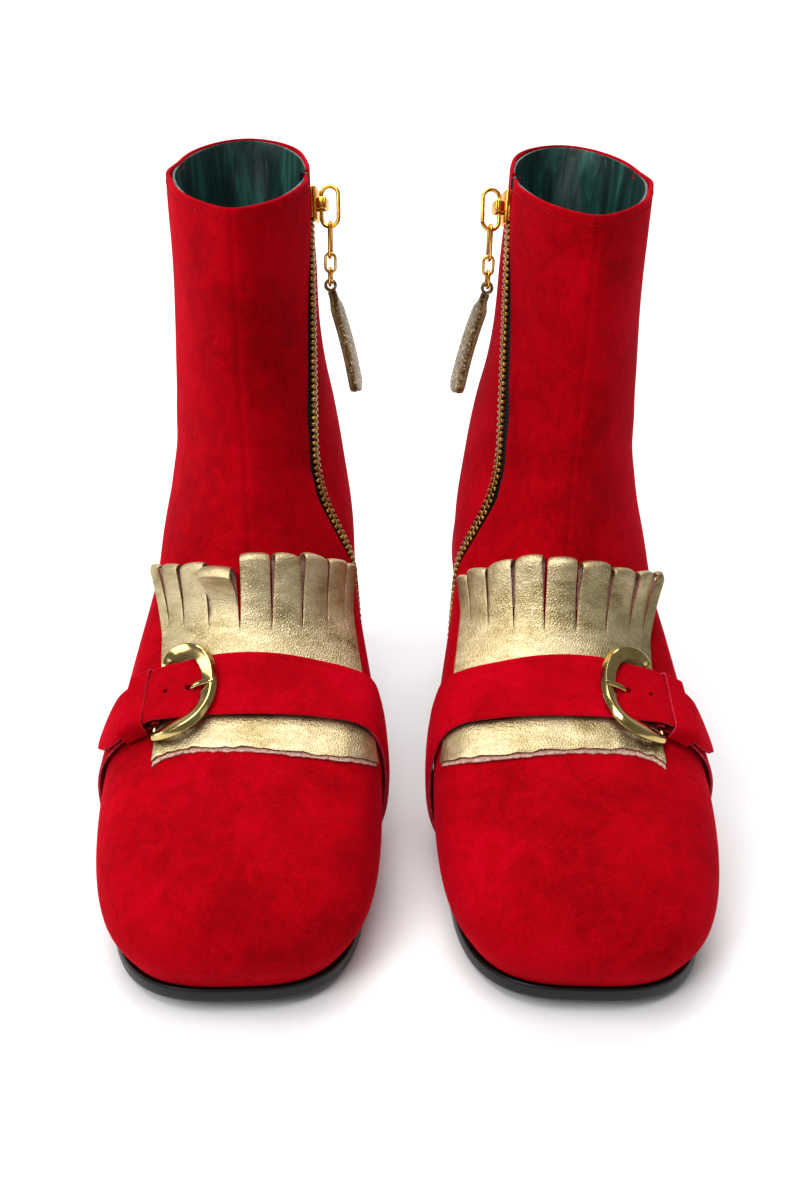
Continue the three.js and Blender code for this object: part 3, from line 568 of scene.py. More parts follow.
# %% [markdown]
# The zip and its chain are plated a bright yellow gold, and the buckle a paler one. Plating
# is smooth, so nearly all that shows is what it reflects; faint wear keeps the gloss from
# being the same all over. A metal keeps the shader's own IOR.

# %% Plated metals
yellow_gold = plain("yellow_gold_plating", "#d79a2c", "#f0c358", 2.2, 0.2, 0.02,
                    Metallic=1.0)
pale_gold = plain("pale_gold_plating", "#b39b5c", "#cdb678", 5.0, 0.12, 0.01, Metallic=1.0)
aged_brass = plain("aged_zip_brass", "#7a5c28", "#c49c4e", 1.6, 0.32, 0.03, Metallic=1.0)
print(yellow_gold.name, pale_gold.name, aged_brass.name)

# %% [markdown]
# The camera comes early, so that each piece can be judged from where it will be seen. It
# stands a little over a quarter of a metre in front of the toes and some 4 cm above the
# rim, looking down at the straps, so the toes loom and the shafts taper away.

# %% Camera
CAMERA_Y, CAMERA_HEIGHT = -252.0, 269.0  # on the last's own y, and over the ground
CAMERA_DOWN, CAMERA_TURN, CAMERA_ROLL = (math.radians(a) for a in (26.7, -1.97, 1.4))
CAMERA_X = -2.65
SENSOR_HEIGHT, LENS = 36.0, 34.25


def place_camera():
    data = bpy.data.cameras.new("camera")
    data.sensor_fit = "VERTICAL"
    data.sensor_height = SENSOR_HEIGHT
    data.lens = LENS
    data.clip_start = 0.01
    camera = bpy.data.objects.new("camera", data)
    bpy.context.scene.collection.objects.link(camera)
    pivot = Vector((0, PAIR_SHIFT, 0)) / 1000
    turn = Matrix.Rotation(CAMERA_TURN, 4, "Z")
    spot = turn @ Vector((CAMERA_X, CAMERA_Y - PIVOT_Y, CAMERA_HEIGHT)) / 1000
    tilt = Matrix.Rotation(math.pi / 2 - CAMERA_DOWN, 4, "X")
    roll = Matrix.Rotation(CAMERA_ROLL, 4, "Z")
    camera.matrix_world = Matrix.Translation(spot + pivot) @ turn @ tilt @ roll
    bpy.context.scene.camera = camera


place_camera()
print("camera", bpy.context.scene.camera.matrix_world.translation)

# %% [markdown]
# The upper of the real boot is three pieces: a vamp over the toes and two quarters that
# meet in a seam down the front and one down the back. Each could be pushed into shape from
# a plane, but then the seams would not meet, so each is a grid laid on the last. Near a
# seam the sheet dips by half a millimetre, because the two edges are turned in and sewn.

# %% Rows and columns of the upper
SUEDE = 1.3
VAMP_TOP = 6.5  # the section at which the vamp ends
SEAM_DIP = 0.55
SEAM_SOFT = 1.3  # how far from a seam its dip reaches
SEAM_GAP = 0.15  # left between each piece and the seam's line
ROW_GAP = 0.03  # the same above the vamp, in sections
TUCK_IN = 2.5
VAMP_SEAM_Y = (84, 98)  # at the sole and at the vamp's top


def seam_y(t):
    return VAMP_SEAM_Y[0] + (VAMP_SEAM_Y[1] - VAMP_SEAM_Y[0]) * t / VAMP_TOP


def dip(distance):
    """How far the sheet sinks at a distance in millimetres from a seam."""
    return -SEAM_DIP * np.exp(-((distance / SEAM_SOFT) ** 2))


def creases(points):
    """Soft wear: shallow folds across the ankle and a slow unevenness all over."""
    x, y, z = points[..., 0], points[..., 1], points[..., 2]
    bend = np.exp(-(((z - 128) / 20) ** 2)) * np.exp(-(((y - 142) / 30) ** 2))
    across = np.sin((z + 0.32 * y + 0.1 * x) / 3.6 + np.sin(x / 11)) * 0.5
    slow = 0.35 * np.sin(x / 13 + z / 19) * np.sin(y / 17 - z / 31)
    dent = 0.3 * np.sin(z / 9 + y / 23) * np.sin(x / 8 + 1.3)
    return bend * across * 0.8 + (slow + dent) * ease((z - 20) / 60) + rim_wave(x, y, z)


def rim_wave(x, y, z):
    """The top edge of a worn shaft is not a clean ellipse: it waves in and out."""
    around = np.arctan2(x, y - 190)
    return ease((z - 185) / 30) * (0.7 * np.sin(3 * around + 0.6) + 0.35 * np.sin(7 * around))


def graded(low, high, count, fine=1.0):
    """Values from low to high, closer together near both ends."""
    u = np.linspace(0, 1, count)
    return low + (high - low) * (u - fine * np.sin(2 * np.pi * u) / (2 * np.pi) * 0.85)


def around_size(t, psi):
    """Millimetres per radian round a section."""
    return np.linalg.norm(last_point(t, psi + 0.01) - last_point(t, psi - 0.01), axis=-1) / 0.02


def on_last(t, psi, extra=0.0):
    """Points on the worn surface of the upper."""
    return skin(t, psi, creases(last_point(t, psi)) + extra)


print("vamp seam from y", seam_y(0), "to", seam_y(VAMP_TOP))

# %% [markdown]
# The vamp runs from the sole over the toes and ends under the kiltie. Below its last row
# one more row tucks in under the foot, as leather does when it is pulled over the last.

# %% Vamp
VAMP_ROWS, VAMP_COLUMNS = 74, 90


def make_vamp():
    rows = np.concatenate([[0.0], graded(0.0, VAMP_TOP - ROW_GAP, VAMP_ROWS, 0.6)])
    t = rows[:, None] * np.ones(VAMP_COLUMNS)
    ends = [angle_at_y(rows, seam_y(rows) - SEAM_GAP, side) for side in (-1, 1)]
    u = graded(0, 1, VAMP_COLUMNS, 0.5)[None, :]
    psi = ends[0][:, None] * (1 - u) + ends[1][:, None] * u
    edge = np.minimum(u, 1 - u) * (ends[1] - ends[0])[:, None] * around_size(t, psi)
    points = on_last(t, psi, dip(edge))
    points[0] -= TUCK_IN * last_normal(t[0], psi[0]) * (1, 1, 0)
    piece = sheet_grid("right_vamp_suede", points, [red_suede])
    return smooth(thicken(piece, SUEDE, 0.0))


wear_both(make_vamp(), "boot", "red_suede", "vamp")

# %% [markdown]
# The zip runs straight down the inner side of the shaft and then bends forward over the
# foot. Its line is worked out first, because the inner quarter is slit along it and the
# teeth, tapes, slider and pull chain all hang from it.

# %% The zip's line
ZIP_Y = [127, 133, 139, 143, 144.5, 144.5, 146.2, 156.5, 169, 181.6, 191]  # from section 2
ZIP_LOW, ZIP_KNEE = 2.5, 8.5  # sections at which it ends and at which it bends
ZIP_SLOT = 6.4
ZIP_SINK = 0.5
ZIP_POINTS = 120
ZIP_STEP = 0.5
SOFTENING = 60  # rounds of averaging that ease the bend


def zip_angle(t):
    """The angle of the zip in section t."""
    return angle_at_y(t, np.interp(t, np.arange(2, RIM + 1), ZIP_Y), 1)


def unit(v):
    return v / np.linalg.norm(v, axis=-1, keepdims=True)


def sampled(at, length, values):
    """Rows of values read off at some distances along a line."""
    return np.stack([np.interp(at, length, values[:, k]) for k in range(3)], -1)


def walked(path):
    """The distance along a path to each of its points."""
    return np.concatenate([[0], np.cumsum(np.linalg.norm(np.diff(path, axis=0), axis=1))])


zip_top = skin(RIM, zip_angle(RIM), -ZIP_SINK)
zip_knee = skin(ZIP_KNEE, zip_angle(ZIP_KNEE), -ZIP_SINK)
zip_down = unit(zip_knee - zip_top)
zip_out = last_normal(10.4, zip_angle(10.4))
zip_out = unit(zip_out - zip_down * (zip_out @ zip_down))


def zip_line():
    """Evenly spaced points along the zip, with the outward and forward directions."""
    straight = zip_top + np.linspace(0, 1, ZIP_POINTS)[:, None] * (zip_knee - zip_top)
    t = np.linspace(ZIP_KNEE, ZIP_LOW, ZIP_POINTS)[1:]
    bent = skin(t, zip_angle(t), -ZIP_SINK)
    path = np.concatenate([straight, bent])
    out = np.concatenate([np.tile(zip_out, (ZIP_POINTS, 1)), last_normal(t, zip_angle(t))])
    for _ in range(SOFTENING):
        path[1:-1] = (path[:-2] + 2 * path[1:-1] + path[2:]) / 4
        out[1:-1] = (out[:-2] + 2 * out[1:-1] + out[2:]) / 4
    length = walked(path)
    steps = np.arange(0, length[-1], ZIP_STEP)
    path = sampled(steps, length, path)
    out = unit(sampled(steps, length, out))
    along = unit(np.gradient(path, axis=0))
    return steps, path, out, unit(np.cross(along, out))


zip_steps, zip_path, zip_facing, zip_forward = zip_line()
print("zip length", zip_steps[-1], "mm")


def beside_zip(distance, front, out):
    """A point a distance down the zip from the rim, moved forwards and outwards."""
    place, facing, forward = (sampled(distance, zip_steps, a)
                              for a in (zip_path, zip_facing, zip_forward))
    return (place + forward * np.asarray(front)[..., None]
            + facing * np.asarray(out)[..., None])


# %% [markdown]
# Both quarters share one plan of columns: a stretch in front that exists only above the
# vamp, then on to the zip, and then to the back seam. The inner quarter opens at the zip:
# its two middle columns stand apart by the slot and close at its lower end. The top rows
# roll over the rim and a little way down inside, which is how the edge is turned and sewn.

# %% Quarters
FRONT_COLUMNS, MIDDLE_COLUMNS, BACK_COLUMNS = 30, 24, 36
LOW_ROWS, HIGH_ROWS = 60, 66  # beside the vamp and above it
QUARTER_THICK = 0.8  # pared down, so that the rim can be turned over
SEAM_ANGLE = 0.0008  # left between each quarter and its front and back seam
FAR = 99.0  # a distance at which a seam's dip has died out
RIM_ROLL = 0.8  # radius of the turned-over top edge
ROLL_STEPS = 7
TURNED_IN = 7.0


def zip_gap(t, psi):
    """Half the slot's opening in section t, as an angle."""
    above, below = np.minimum(t + 0.05, RIM), t - 0.05
    slant = unit(last_point(above, zip_angle(above)) - last_point(below, zip_angle(below)))
    around = unit(last_point(t, psi + 0.01) - last_point(t, psi - 0.01))
    across = unit(np.cross(last_normal(t, psi), slant))
    facing = np.abs((around * across).sum(-1))
    open_end = np.sqrt(np.clip((t - ZIP_LOW) / 0.16, 0, 1))
    return open_end * ZIP_SLOT / 2 / around_size(t, psi) / facing


def quarter_rows():
    low = graded(0, VAMP_TOP, LOW_ROWS, 0.5)
    high = graded(VAMP_TOP + ROW_GAP, RIM, HIGH_ROWS, 0.5)
    return np.concatenate([[0.0], low, high])


def roll_rim(points, normals):
    """Adds the rows that turn over the rim and run down inside it."""
    up = np.array([0, 0, 1.0])
    rows = []
    for step in range(1, ROLL_STEPS + 1):
        a = math.pi * step / ROLL_STEPS
        inwards, upwards = RIM_ROLL * (1 - math.cos(a)), RIM_ROLL * math.sin(a)
        rows.append(points[-1] - normals * inwards + up * upwards)
    for drop in (2.0, TURNED_IN):
        rows.append(rows[ROLL_STEPS - 1] - up * drop - normals * 0.15)
    return np.concatenate([points, np.stack(rows)])


def make_quarter(side):
    rows = quarter_rows()
    t = rows[:, None]
    seam = np.where(rows <= VAMP_TOP, angle_at_y(rows, seam_y(rows) + SEAM_GAP, side),
                    angle_at_y(VAMP_TOP, seam_y(VAMP_TOP), side))
    middle = np.where(rows > 2, zip_angle(np.clip(rows, 2, RIM)), zip_angle(2.0)) * side
    gap = zip_gap(np.clip(rows, 2.1, RIM), np.abs(middle)) if side > 0 else rows * 0
    front = side * SEAM_ANGLE
    back = side * (math.pi - SEAM_ANGLE)
    stretches = ((FRONT_COLUMNS, 0, front + rows * 0, seam),
                 (MIDDLE_COLUMNS, 1, seam, middle - gap),
                 (BACK_COLUMNS, 0, middle + gap, back + rows * 0))
    psi = np.concatenate([graded(0, 1, count, 0.4)[None, skip:] * (end - start)[:, None]
                          + start[:, None] for count, skip, start, end in stretches], 1)
    t = t * np.ones_like(psi)
    size = around_size(t, psi)
    from_front = np.where(t > VAMP_TOP, np.abs(psi - front) * size, FAR)
    from_vamp = np.where(t <= VAMP_TOP, np.abs(psi - seam[:, None]) * size, FAR)
    from_back = np.abs(psi - back) * size
    sink = dip(from_front) + dip(from_back) + dip(from_vamp)
    points = on_last(t, psi, sink)
    points[0] -= TUCK_IN * last_normal(t[0], psi[0]) * (1, 1, 0)
    points = roll_rim(points, last_normal(t[-1], psi[-1]))
    keep = np.ones((len(points) - 1, psi.shape[1] - 1), bool)
    keep[:int((rows <= VAMP_TOP).sum()), :FRONT_COLUMNS - 1] = False
    if side > 0:
        slit = FRONT_COLUMNS + MIDDLE_COLUMNS - 2
        keep[int((rows < ZIP_LOW).sum()) - 1:, slit] = False
    points = points if side > 0 else points[:, ::-1]
    keep = keep if side > 0 else keep[:, ::-1]
    name = "right_inner_quarter" if side > 0 else "right_outer_quarter"
    piece = sheet_grid(name, points, [red_suede], keep=keep)
    return smooth(thicken(piece, QUARTER_THICK, 0.0))


wear_both(make_quarter(1), "boot", "red_suede", "quarter_medial")
wear_both(make_quarter(-1), "boot", "red_suede", "quarter_lateral")

# %% [markdown]
# The lining is one closed tube inside the leg and foot. It starts just under the turned
# edge and hangs in soft folds down the leg, so the grid is pushed in and out by waves that
# run round it and fade at the rim, where it is sewn fast.

# %% Lining
LINING_THICK = 0.8
LINING_COLUMNS = 180


def make_lining():
    rows = np.concatenate([graded(0.5, 8.5, 50, 0.2), np.linspace(8.6, RIM - 0.01, 46)])
    psi = np.linspace(-math.pi, math.pi, LINING_COLUMNS, endpoint=False)
    t, psi = np.meshgrid(rows, psi, indexing="ij")
    depth = 1.75 + 2.0 * ease((9.5 - t) / 1.5) + 0.4 * ease((RIM - t) / 1.2)
    loose = ease((RIM - 0.1 - t) / 1.0)
    waves = np.sin(psi * 11 + 0.9 * np.sin(t * 2.1)) + 0.6 * np.sin(psi * 23 + t * 1.7)
    points = skin(t, psi, -depth + 0.32 * loose * np.clip(waves, -1, 1) - 0.3 * loose)
    piece = sheet_grid("right_lining", points, [green_lining], wrap=True)
    return smooth(thicken(piece, LINING_THICK, 0.25))


wear_both(make_lining(), "boot", "lining_leather", "quarter_lining", "vamp_lining")

# %% [markdown]
# A row of stitches is one short thread repeated. It is modelled once, as a cylinder whose
# ends are drawn in, and then copied to each place along the seam into a single mesh.


# %% Copying a small shape along a line
STITCH_SHARE = 0.72  # of the pitch; the rest is where the thread dives under
THREAD_RADIUS = 0.26


def copies(name, template, origins, x_axes, y_axes, z_axes, material):
    """One mesh of many copies of a template in mm, each in its own axes."""
    base = np.array([v.co for v in template.data.vertices])
    polygons = [tuple(p.vertices) for p in template.data.polygons]
    points, faces = [], []
    for o, x, y, z in zip(origins, x_axes, y_axes, z_axes):
        start = len(points)
        points.extend(o + base[:, :1] * x + base[:, 1:2] * y + base[:, 2:3] * z)
        faces.extend(tuple(start + k for k in polygon) for polygon in polygons)
    piece = mesh_object(name, to_frame(np.array(points)), faces, [material])
    bpy.data.objects.remove(template)
    return smooth(piece, 60)


def thread_template(length, radius):
    """One stitch: a short thread along x with drawn-in ends, in mm."""
    deselect()
    bpy.ops.mesh.primitive_cylinder_add(vertices=6, radius=radius, depth=length * 0.6,
                                        rotation=(0, math.pi / 2, 0))
    bpy.ops.object.transform_apply(rotation=True)
    stitch = bpy.context.object
    bpy.ops.object.mode_set(mode="EDIT")
    for end in (-1, 1):
        bpy.ops.mesh.select_all(action="DESELECT")
        bpy.ops.object.mode_set(mode="OBJECT")
        for polygon in stitch.data.polygons:
            polygon.select = polygon.normal.x * end > 0.9
        bpy.ops.object.mode_set(mode="EDIT")
        bpy.ops.mesh.extrude_region_move(
            TRANSFORM_OT_translate={"value": (end * length * 0.2, 0, -radius * 0.8)})
        bpy.ops.transform.resize(value=(1, 0.4, 0.4),
                                 center_override=(end * length / 2, 0, -radius * 0.8))
    bpy.ops.object.mode_set(mode="OBJECT")
    return stitch


def stitch_line(name, path, normals, material, pitch, radius):
    """Stitches along a path in mm, lying on the surface whose normals are given."""
    length = walked(path)
    at = np.arange(pitch / 2, length[-1], pitch)
    x = unit(sampled(at, length, np.gradient(path, axis=0)))
    z = unit(sampled(at, length, normals))
    y = unit(np.cross(z, x))
    stitch = thread_template(pitch * STITCH_SHARE, radius)
    return copies(name, stitch, sampled(at, length, path), x, y, z, material)


# %% [markdown]
# The rim's turned edge is held by a row of stitches a few millimetres below it, from the
# back seam round the outer side and the front to the zip.


# %% Rim stitches
def rim_stitches():
    psi = np.linspace(math.radians(-178), zip_angle(RIM) - 0.2, 260)
    t = np.full_like(psi, RIM - 0.17)
    path = on_last(t, psi, -0.02)
    return stitch_line("right_rim_stitches", path, last_normal(t, psi), red_thread,
                       2.6, THREAD_RADIUS)


wear_both(rim_stitches(), "boot", "red_suede")

# %% [markdown]
# The sole is a flat piece cut to the footprint, a little larger than the upper, with its
# edge rounded, inked and waxed. Rings of points round the footprint give the edge its
# profile; the top and bottom are closed across from side to side. The footprint comes from
# the last, so a ring is the last's lowest section grown by a share of its size.

# %% Outsole
FOOTPRINT_POINTS = 160


def footprint(psi, grow):
    """The sole's outline at height zero, grown outwards by some millimetres."""
    p = last_point(0.0, psi)
    middle = (SECTIONS[0][0] + SECTIONS[0][2]) / 2
    half = (SECTIONS[0][2] - SECTIONS[0][0]) / 2
    x = p[..., 0] * (1 + grow / SECTIONS[0][5])
    y = middle + (p[..., 1] - middle) * (1 + grow / half)
    return x, y


def make_outsole():
    psi = np.linspace(0, 2 * math.pi, FOOTPRINT_POINTS, endpoint=False)
    profile = [(0.0, 0.0), (WELT - 0.5, 0.0), (WELT - 0.1, 0.1), (WELT, 0.2), (WELT, 0.75),
               (WELT - 0.15, 0.9), (WELT - 0.6, 0.98), (WELT - 1.4, 1.0), (-6.0, 1.0)]
    rings = []
    for grow, down in profile:
        x, y = footprint(psi, grow)
        top, bottom = feather(y) - GAP, sole_underside(y)
        rings.append(np.stack([x, y, top + (bottom - top) * down], -1))
    count = FOOTPRINT_POINTS
    faces = [(r * count + k, (r + 1) * count + k, (r + 1) * count + (k + 1) % count,
              r * count + (k + 1) % count) for r in range(len(rings) - 1) for k in range(count)]
    last = (len(rings) - 1) * count
    for k in range(count // 2):
        a, b, c, d = k, k + 1, (count - k - 1) % count, (count - k) % count
        cap = [a, b, c] if k == 0 else ([a, b, d] if k == count // 2 - 1 else [a, b, c, d])
        faces.append(tuple(cap))
        faces.append(tuple(last + v for v in reversed(cap)))
    points = to_frame(np.concatenate(rings))
    piece = mesh_object("right_outsole_edge", points, faces, [black_sole])
    turn_outwards(piece)
    return smooth(piece, 40)


wear_both(make_outsole(), "boot", "sole_rubber", "outsole")

# %% [markdown]
# The heel is a block under the back of the foot, covered with black leather, on a rubber
# top lift. Its plan follows the footprint behind the heel's front face, so the outline is
# taken from the last, joined to a smaller one at the ground and bevelled.

# %% Heel block and top lift
HEEL_MIDDLE_Y = 214.0
HEEL_TAPER = 0.93
HEEL_FRONT_Y = BREAST_Y + 0.5
HEEL_HOLLOW = 1.6  # depth of the curve in its front face


def heel_outline(count=44):
    start = angle_at_y(0.0, HEEL_FRONT_Y, 1)
    end = 2 * math.pi - abs(angle_at_y(0.0, HEEL_FRONT_Y, -1))
    psi = np.linspace(start, end, count)
    x, y = footprint(psi, -0.4)
    across = np.linspace(x[-1], x[0], 12)[1:-1]
    hollow = HEEL_HOLLOW * (1 - (across / x[0]) ** 2)
    return np.concatenate([x, across]), np.concatenate([y, HEEL_FRONT_Y + hollow])


def extrude_outline(name, low, high, material, bevel):
    """A solid between two outlines of equal point count, bevelled all round, in mm."""
    count = len(low)
    faces = [tuple(range(count))[::-1], tuple(range(count, 2 * count))]
    faces += [(k, (k + 1) % count, count + (k + 1) % count, count + k) for k in range(count)]
    piece = mesh_object(name, to_frame(np.concatenate([low, high])), faces, [material])
    turn_outwards(piece)
    apply_modifier(piece, "BEVEL", width=bevel / 1000, segments=3, limit_method="ANGLE",
                   angle_limit=math.radians(60))
    return smooth(piece, 40)


def heel_ring(share, z):
    x, y = heel_outline()
    x, y = x * share, HEEL_MIDDLE_Y + (y - HEEL_MIDDLE_Y) * share
    height = sole_underside(y) - GAP if z is None else np.full_like(x, z)
    return np.stack([x, y, height], -1)


wear_both(extrude_outline("right_heel", heel_ring(HEEL_TAPER, TOP_LIFT + 0.15),
                          heel_ring(1, None), heel_black, 0.5),
          "boot", "heel_cover", "heel_block")
wear_both(extrude_outline("right_heel_lift", heel_ring(HEEL_TAPER, 0.0),
                          heel_ring(HEEL_TAPER, TOP_LIFT - 0.1), lift_rubber, 0.5),
          "boot", "top_lift_rubber", "top_lift")

# %% [markdown]
# The kiltie is one piece of foil leather. Its upper part is slit into nine strips, and each
# strip is rolled over backwards into a loop whose end is caught underneath. One grid makes
# it all: rows run up the sheet, round the roll and down behind it, and the narrow columns
# at the slits have no faces above the slit's foot. Each strip gets its own roll, height and
# lean, or the fringe would look stamped. In the right boot one strip has slumped.

# %% Kiltie
KILTIE_LATERAL, KILTIE_MEDIAL = math.radians(-62), math.radians(68)
STRIPS, STRIP_COLUMNS = 9, 7
LATERAL_NARROW = 0.66
KILTIE_FACE = 1.6
KILTIE_THICK = 0.9
MM_PER_SECTION = 25.5  # length of the instep between two sections
MM_PER_RADIAN = 38.0  # and across it
LOW_EDGE, SLIT_FOOT, ROLL_TOP = (5.13, 1.9), (6.88, 1.35), (7.92, 1.45)
TAIL_HEIGHT = 0.3  # of the strip's end, caught under the sheet


def kiltie_fall(line, psi):
    """The section of a line over the foot: its middle, and how far its ends drop."""
    middle, drop = line
    return middle - drop * (psi / KILTIE_MEDIAL) ** 2


def kiltie_low(psi):
    return kiltie_fall(LOW_EDGE, np.where(psi < 0, psi * 0.72, psi))


def kiltie_point(psi, t, offset):
    narrow = np.clip(LATERAL_NARROW + (1 - LATERAL_NARROW) * (t - 4.1) / 2.4, LATERAL_NARROW, 1)
    return skin(t, np.where(psi < 0, psi * narrow, psi), offset)


def kiltie_columns():
    """Each column's angle, its strip, and its place across the strip from 0 to 1."""
    strip, place = [], []
    for k in range(STRIPS):
        strip += [k] * STRIP_COLUMNS
        place += list(graded(0, 1, STRIP_COLUMNS, 0.5))
    strip, place = np.array(strip), np.array(place)
    u = (strip + place) / STRIPS * 2 - 1
    u = u * (1.26 - 0.26 * u * u)
    return KILTIE_LATERAL + (u + 1) / 2 * (KILTIE_MEDIAL - KILTIE_LATERAL), strip, place


def strip_rows(psi, place, habit):
    """Rows of a column above the slit's foot: (angle, section, offset) for each."""
    roll, rise, lean, open_by, slump, flare = habit
    power = 5 if slump else 1.5
    foot = kiltie_fall(SLIT_FOOT, psi)
    top = kiltie_fall(ROLL_TOP, psi) + (rise - slump) / MM_PER_SECTION
    axis = top - roll / MM_PER_SECTION
    shape = []
    for v in np.linspace(0.1, 1, 11):
        lift = KILTIE_FACE + (2 * roll + 0.9 - KILTIE_FACE) * v ** power
        shape.append((v, foot + (axis - foot) * v, lift))
    for a in np.linspace(0.12, 1, 11) * math.pi:
        offset = TAIL_HEIGHT + (roll + 0.3) * (1 + math.cos(a))
        shape.append((1, axis + roll * math.sin(a) / MM_PER_SECTION * 1.05, offset))
    for v in (0.7, 0.4):
        shape.append((v, foot + (axis - foot) * v, TAIL_HEIGHT))
    rows = []
    centre = 2 * place - 1
    for v, t, offset in shape:
        slit = (0.1 + open_by * v) / MM_PER_RADIAN
        angle = psi - centre * slit / 2 + lean * v / MM_PER_RADIAN
        cupped = -0.5 * v * centre ** 2
        rounded = t - v * 0.5 * centre ** 4 / MM_PER_SECTION
        rows.append((angle, rounded, offset + cupped + flare * v))
    return rows


def make_kiltie(name, habit, seed):
    psi, strip, place = kiltie_columns()
    base = graded(0, 1, 30, 0.3)
    low = kiltie_low(psi)
    wobble = np.array([noise.noise(Vector((a * 9, seed, 0))) for a in psi])
    foot = kiltie_fall(SLIT_FOOT, psi)
    grid = []
    for v in base:
        t = low + 0.03 * wobble * (1 - v) + (foot - low) * v
        flare = 0.5 * wobble * ease(1 - v * 4)
        grid.append(kiltie_point(psi, t, KILTIE_FACE + flare))
    upper = [strip_rows(a, p, habit[k]) for a, k, p in zip(psi, strip, place)]
    for r in range(len(upper[0])):
        angle, t, offset = (np.array([column[r][k] for column in upper]) for k in range(3))
        grid.append(kiltie_point(angle, t, offset))
    points = np.stack(grid)
    keep = np.ones((points.shape[0] - 1, points.shape[1] - 1), bool)
    for k in range(1, STRIPS):
        keep[len(base) - 1:, k * STRIP_COLUMNS - 1] = False
    piece = sheet_grid(name, points, [gold_leather, brown_edge, pale_flesh], keep=keep)
    return smooth(thicken(piece, KILTIE_THICK, 0.22, rim=1, back=2), 55)


print("columns", STRIPS * STRIP_COLUMNS, "in", STRIPS, "strips")

# %% [markdown]
# The strips' habits, from the outer side to the inner one: roll radius, extra height, lean
# to the inner side, slit opening, slump, and how far the strip stands off the boot. The
# left kiltie has habits of its own, so it is made as a pattern and then mirrored.

# %% The two kilties
RIGHT_HABIT = [(2.2, -6.0, -2.4, 0.4, 0, 2.2), (2.4, -3.9, -1.8, 0.5, 0, 1.2),
               (2.5, -2.8, -1.2, 0.5, 0, 0.3), (4.6, 0.0, -1.4, 0.6, 4.6, 0.0),
               (2.9, 1.0, 0.1, 2.0, 0, 0.0), (2.7, 0.7, 0.0, 2.1, 0, 0.0),
               (2.8, 1.0, 0.0, 1.6, 0, 0.0), (2.5, 0.2, -0.4, 0.4, 0, 0.7),
               (2.2, -0.8, -1.0, 0.4, 0, 1.2)]
LEFT_HABIT = [(2.2, -9.0, -3.4, 0.4, 0, 3.2), (2.4, -6.0, -2.6, 0.5, 0, 1.9),
              (2.5, -3.5, -1.6, 0.6, 0, 0.8), (2.7, -0.9, -0.7, 0.7, 0, 0.1),
              (2.9, 0.6, 0.1, 2.0, 0, 0.0), (2.8, 1.0, 0.0, 2.0, 0, 0.0),
              (2.7, -0.6, -0.1, 1.8, 0, 0.0), (2.5, -2.8, -0.3, 0.5, 0, 0.4),
              (2.2, -5.5, -0.8, 0.3, 0, 0.8)]
right_sheet = make_kiltie("right_kiltie_sheet", RIGHT_HABIT, 1.7)
wear(right_sheet, "right", "boot", "gold_leather", "kiltie")
left_pattern = make_kiltie("left_kiltie_pattern", LEFT_HABIT, 8.3)
wear(mirrored(left_pattern, "left_kiltie_sheet"), "left", "boot", "gold_leather", "kiltie")
bpy.data.objects.remove(left_pattern)
print(right_sheet.name, len(right_sheet.data.polygons), "faces")

# %% [markdown]
# Under the foil leather lies a second, paler layer whose cut edge sticks out along the
# front by a millimetre or so, wavy where the knife wandered.


# %% Kiltie backing
BACKING_FACE, BACKING_THICK = 0.7, 0.6
BACKING_DEPTH = 0.6  # how far it runs up under the sheet, in sections


def make_backing():
    psi = np.linspace(KILTIE_LATERAL, KILTIE_MEDIAL, 120)
    wobble = np.array([noise.noise(Vector((a * 14, 3.1, 0)))
                       + 0.5 * noise.noise(Vector((a * 40, 1, 0))) for a in psi])
    low = kiltie_low(psi) - 0.045 + 0.018 * wobble
    rows = [kiltie_point(psi, low + BACKING_DEPTH * v, np.full_like(psi, BACKING_FACE))
            for v in np.linspace(0, 1, 8)]
    piece = sheet_grid("right_kiltie_backing", np.stack(rows), [pale_flesh])
    return smooth(thicken(piece, BACKING_THICK, 0.15))


wear_both(make_backing(), "boot", "gold_leather")

# %% [markdown]
# The strap runs across the foot at a fixed distance from the toe, so it follows the foot's
# cross-section there. To find a point on it, the section is walked from its top: over()
# answers for a distance round, positive on the inner side, and a height over the last.

# %% The foot's girth
GIRTH_STEPS = 160
girths = {}


def girth(y):
    """The foot's cross-section at y: distance round from the top, section and angle."""
    key = round(float(y), 4)
    if key not in girths:
        heights = np.arange(2, 8, 0.005)
        top = heights[np.argmax(section(heights)[0] >= y)]
        steps = top * (1 - np.linspace(0, 1, GIRTH_STEPS) ** 2)
        halves = []
        for side in (-1, 1):
            psi = angle_at_y(steps, y, side)
            points = last_point(steps, psi)
            halves.append((side * walked(points), steps, psi))
        girths[key] = tuple(np.concatenate([lateral[::-1], medial[1:]])
                            for lateral, medial in zip(*halves))
    return girths[key]


def over(y, s, offset):
    """Points at distance s round the cross-section at y and a height over the skin."""
    distance, steps, psi = girth(y)
    s = np.asarray(s, float)
    at = sampled(s, distance, last_point(steps, psi))
    out = unit(sampled(s, distance, last_normal(steps, psi)))
    return at + out * np.asarray(offset, float)[..., None]


def medial_end(y):
    return girth(y)[0][-1]


def lateral_end(y):
    return girth(y)[0][0]


print("girth at the instep from", lateral_end(82.5).round(1), "to", medial_end(82.5).round(1))

# %% [markdown]
# The strap lies flat on the kiltie, rises over the buckle's bar, comes down under the
# keeper and ends in a round tip. It is a sheet with a fine grid, because it bends both
# along and across. Its edges are turned down and a stitch groove runs beside each, and its
# two holes are cut with a cylinder by a Boolean modifier, which is cleaner than deleting
# faces.

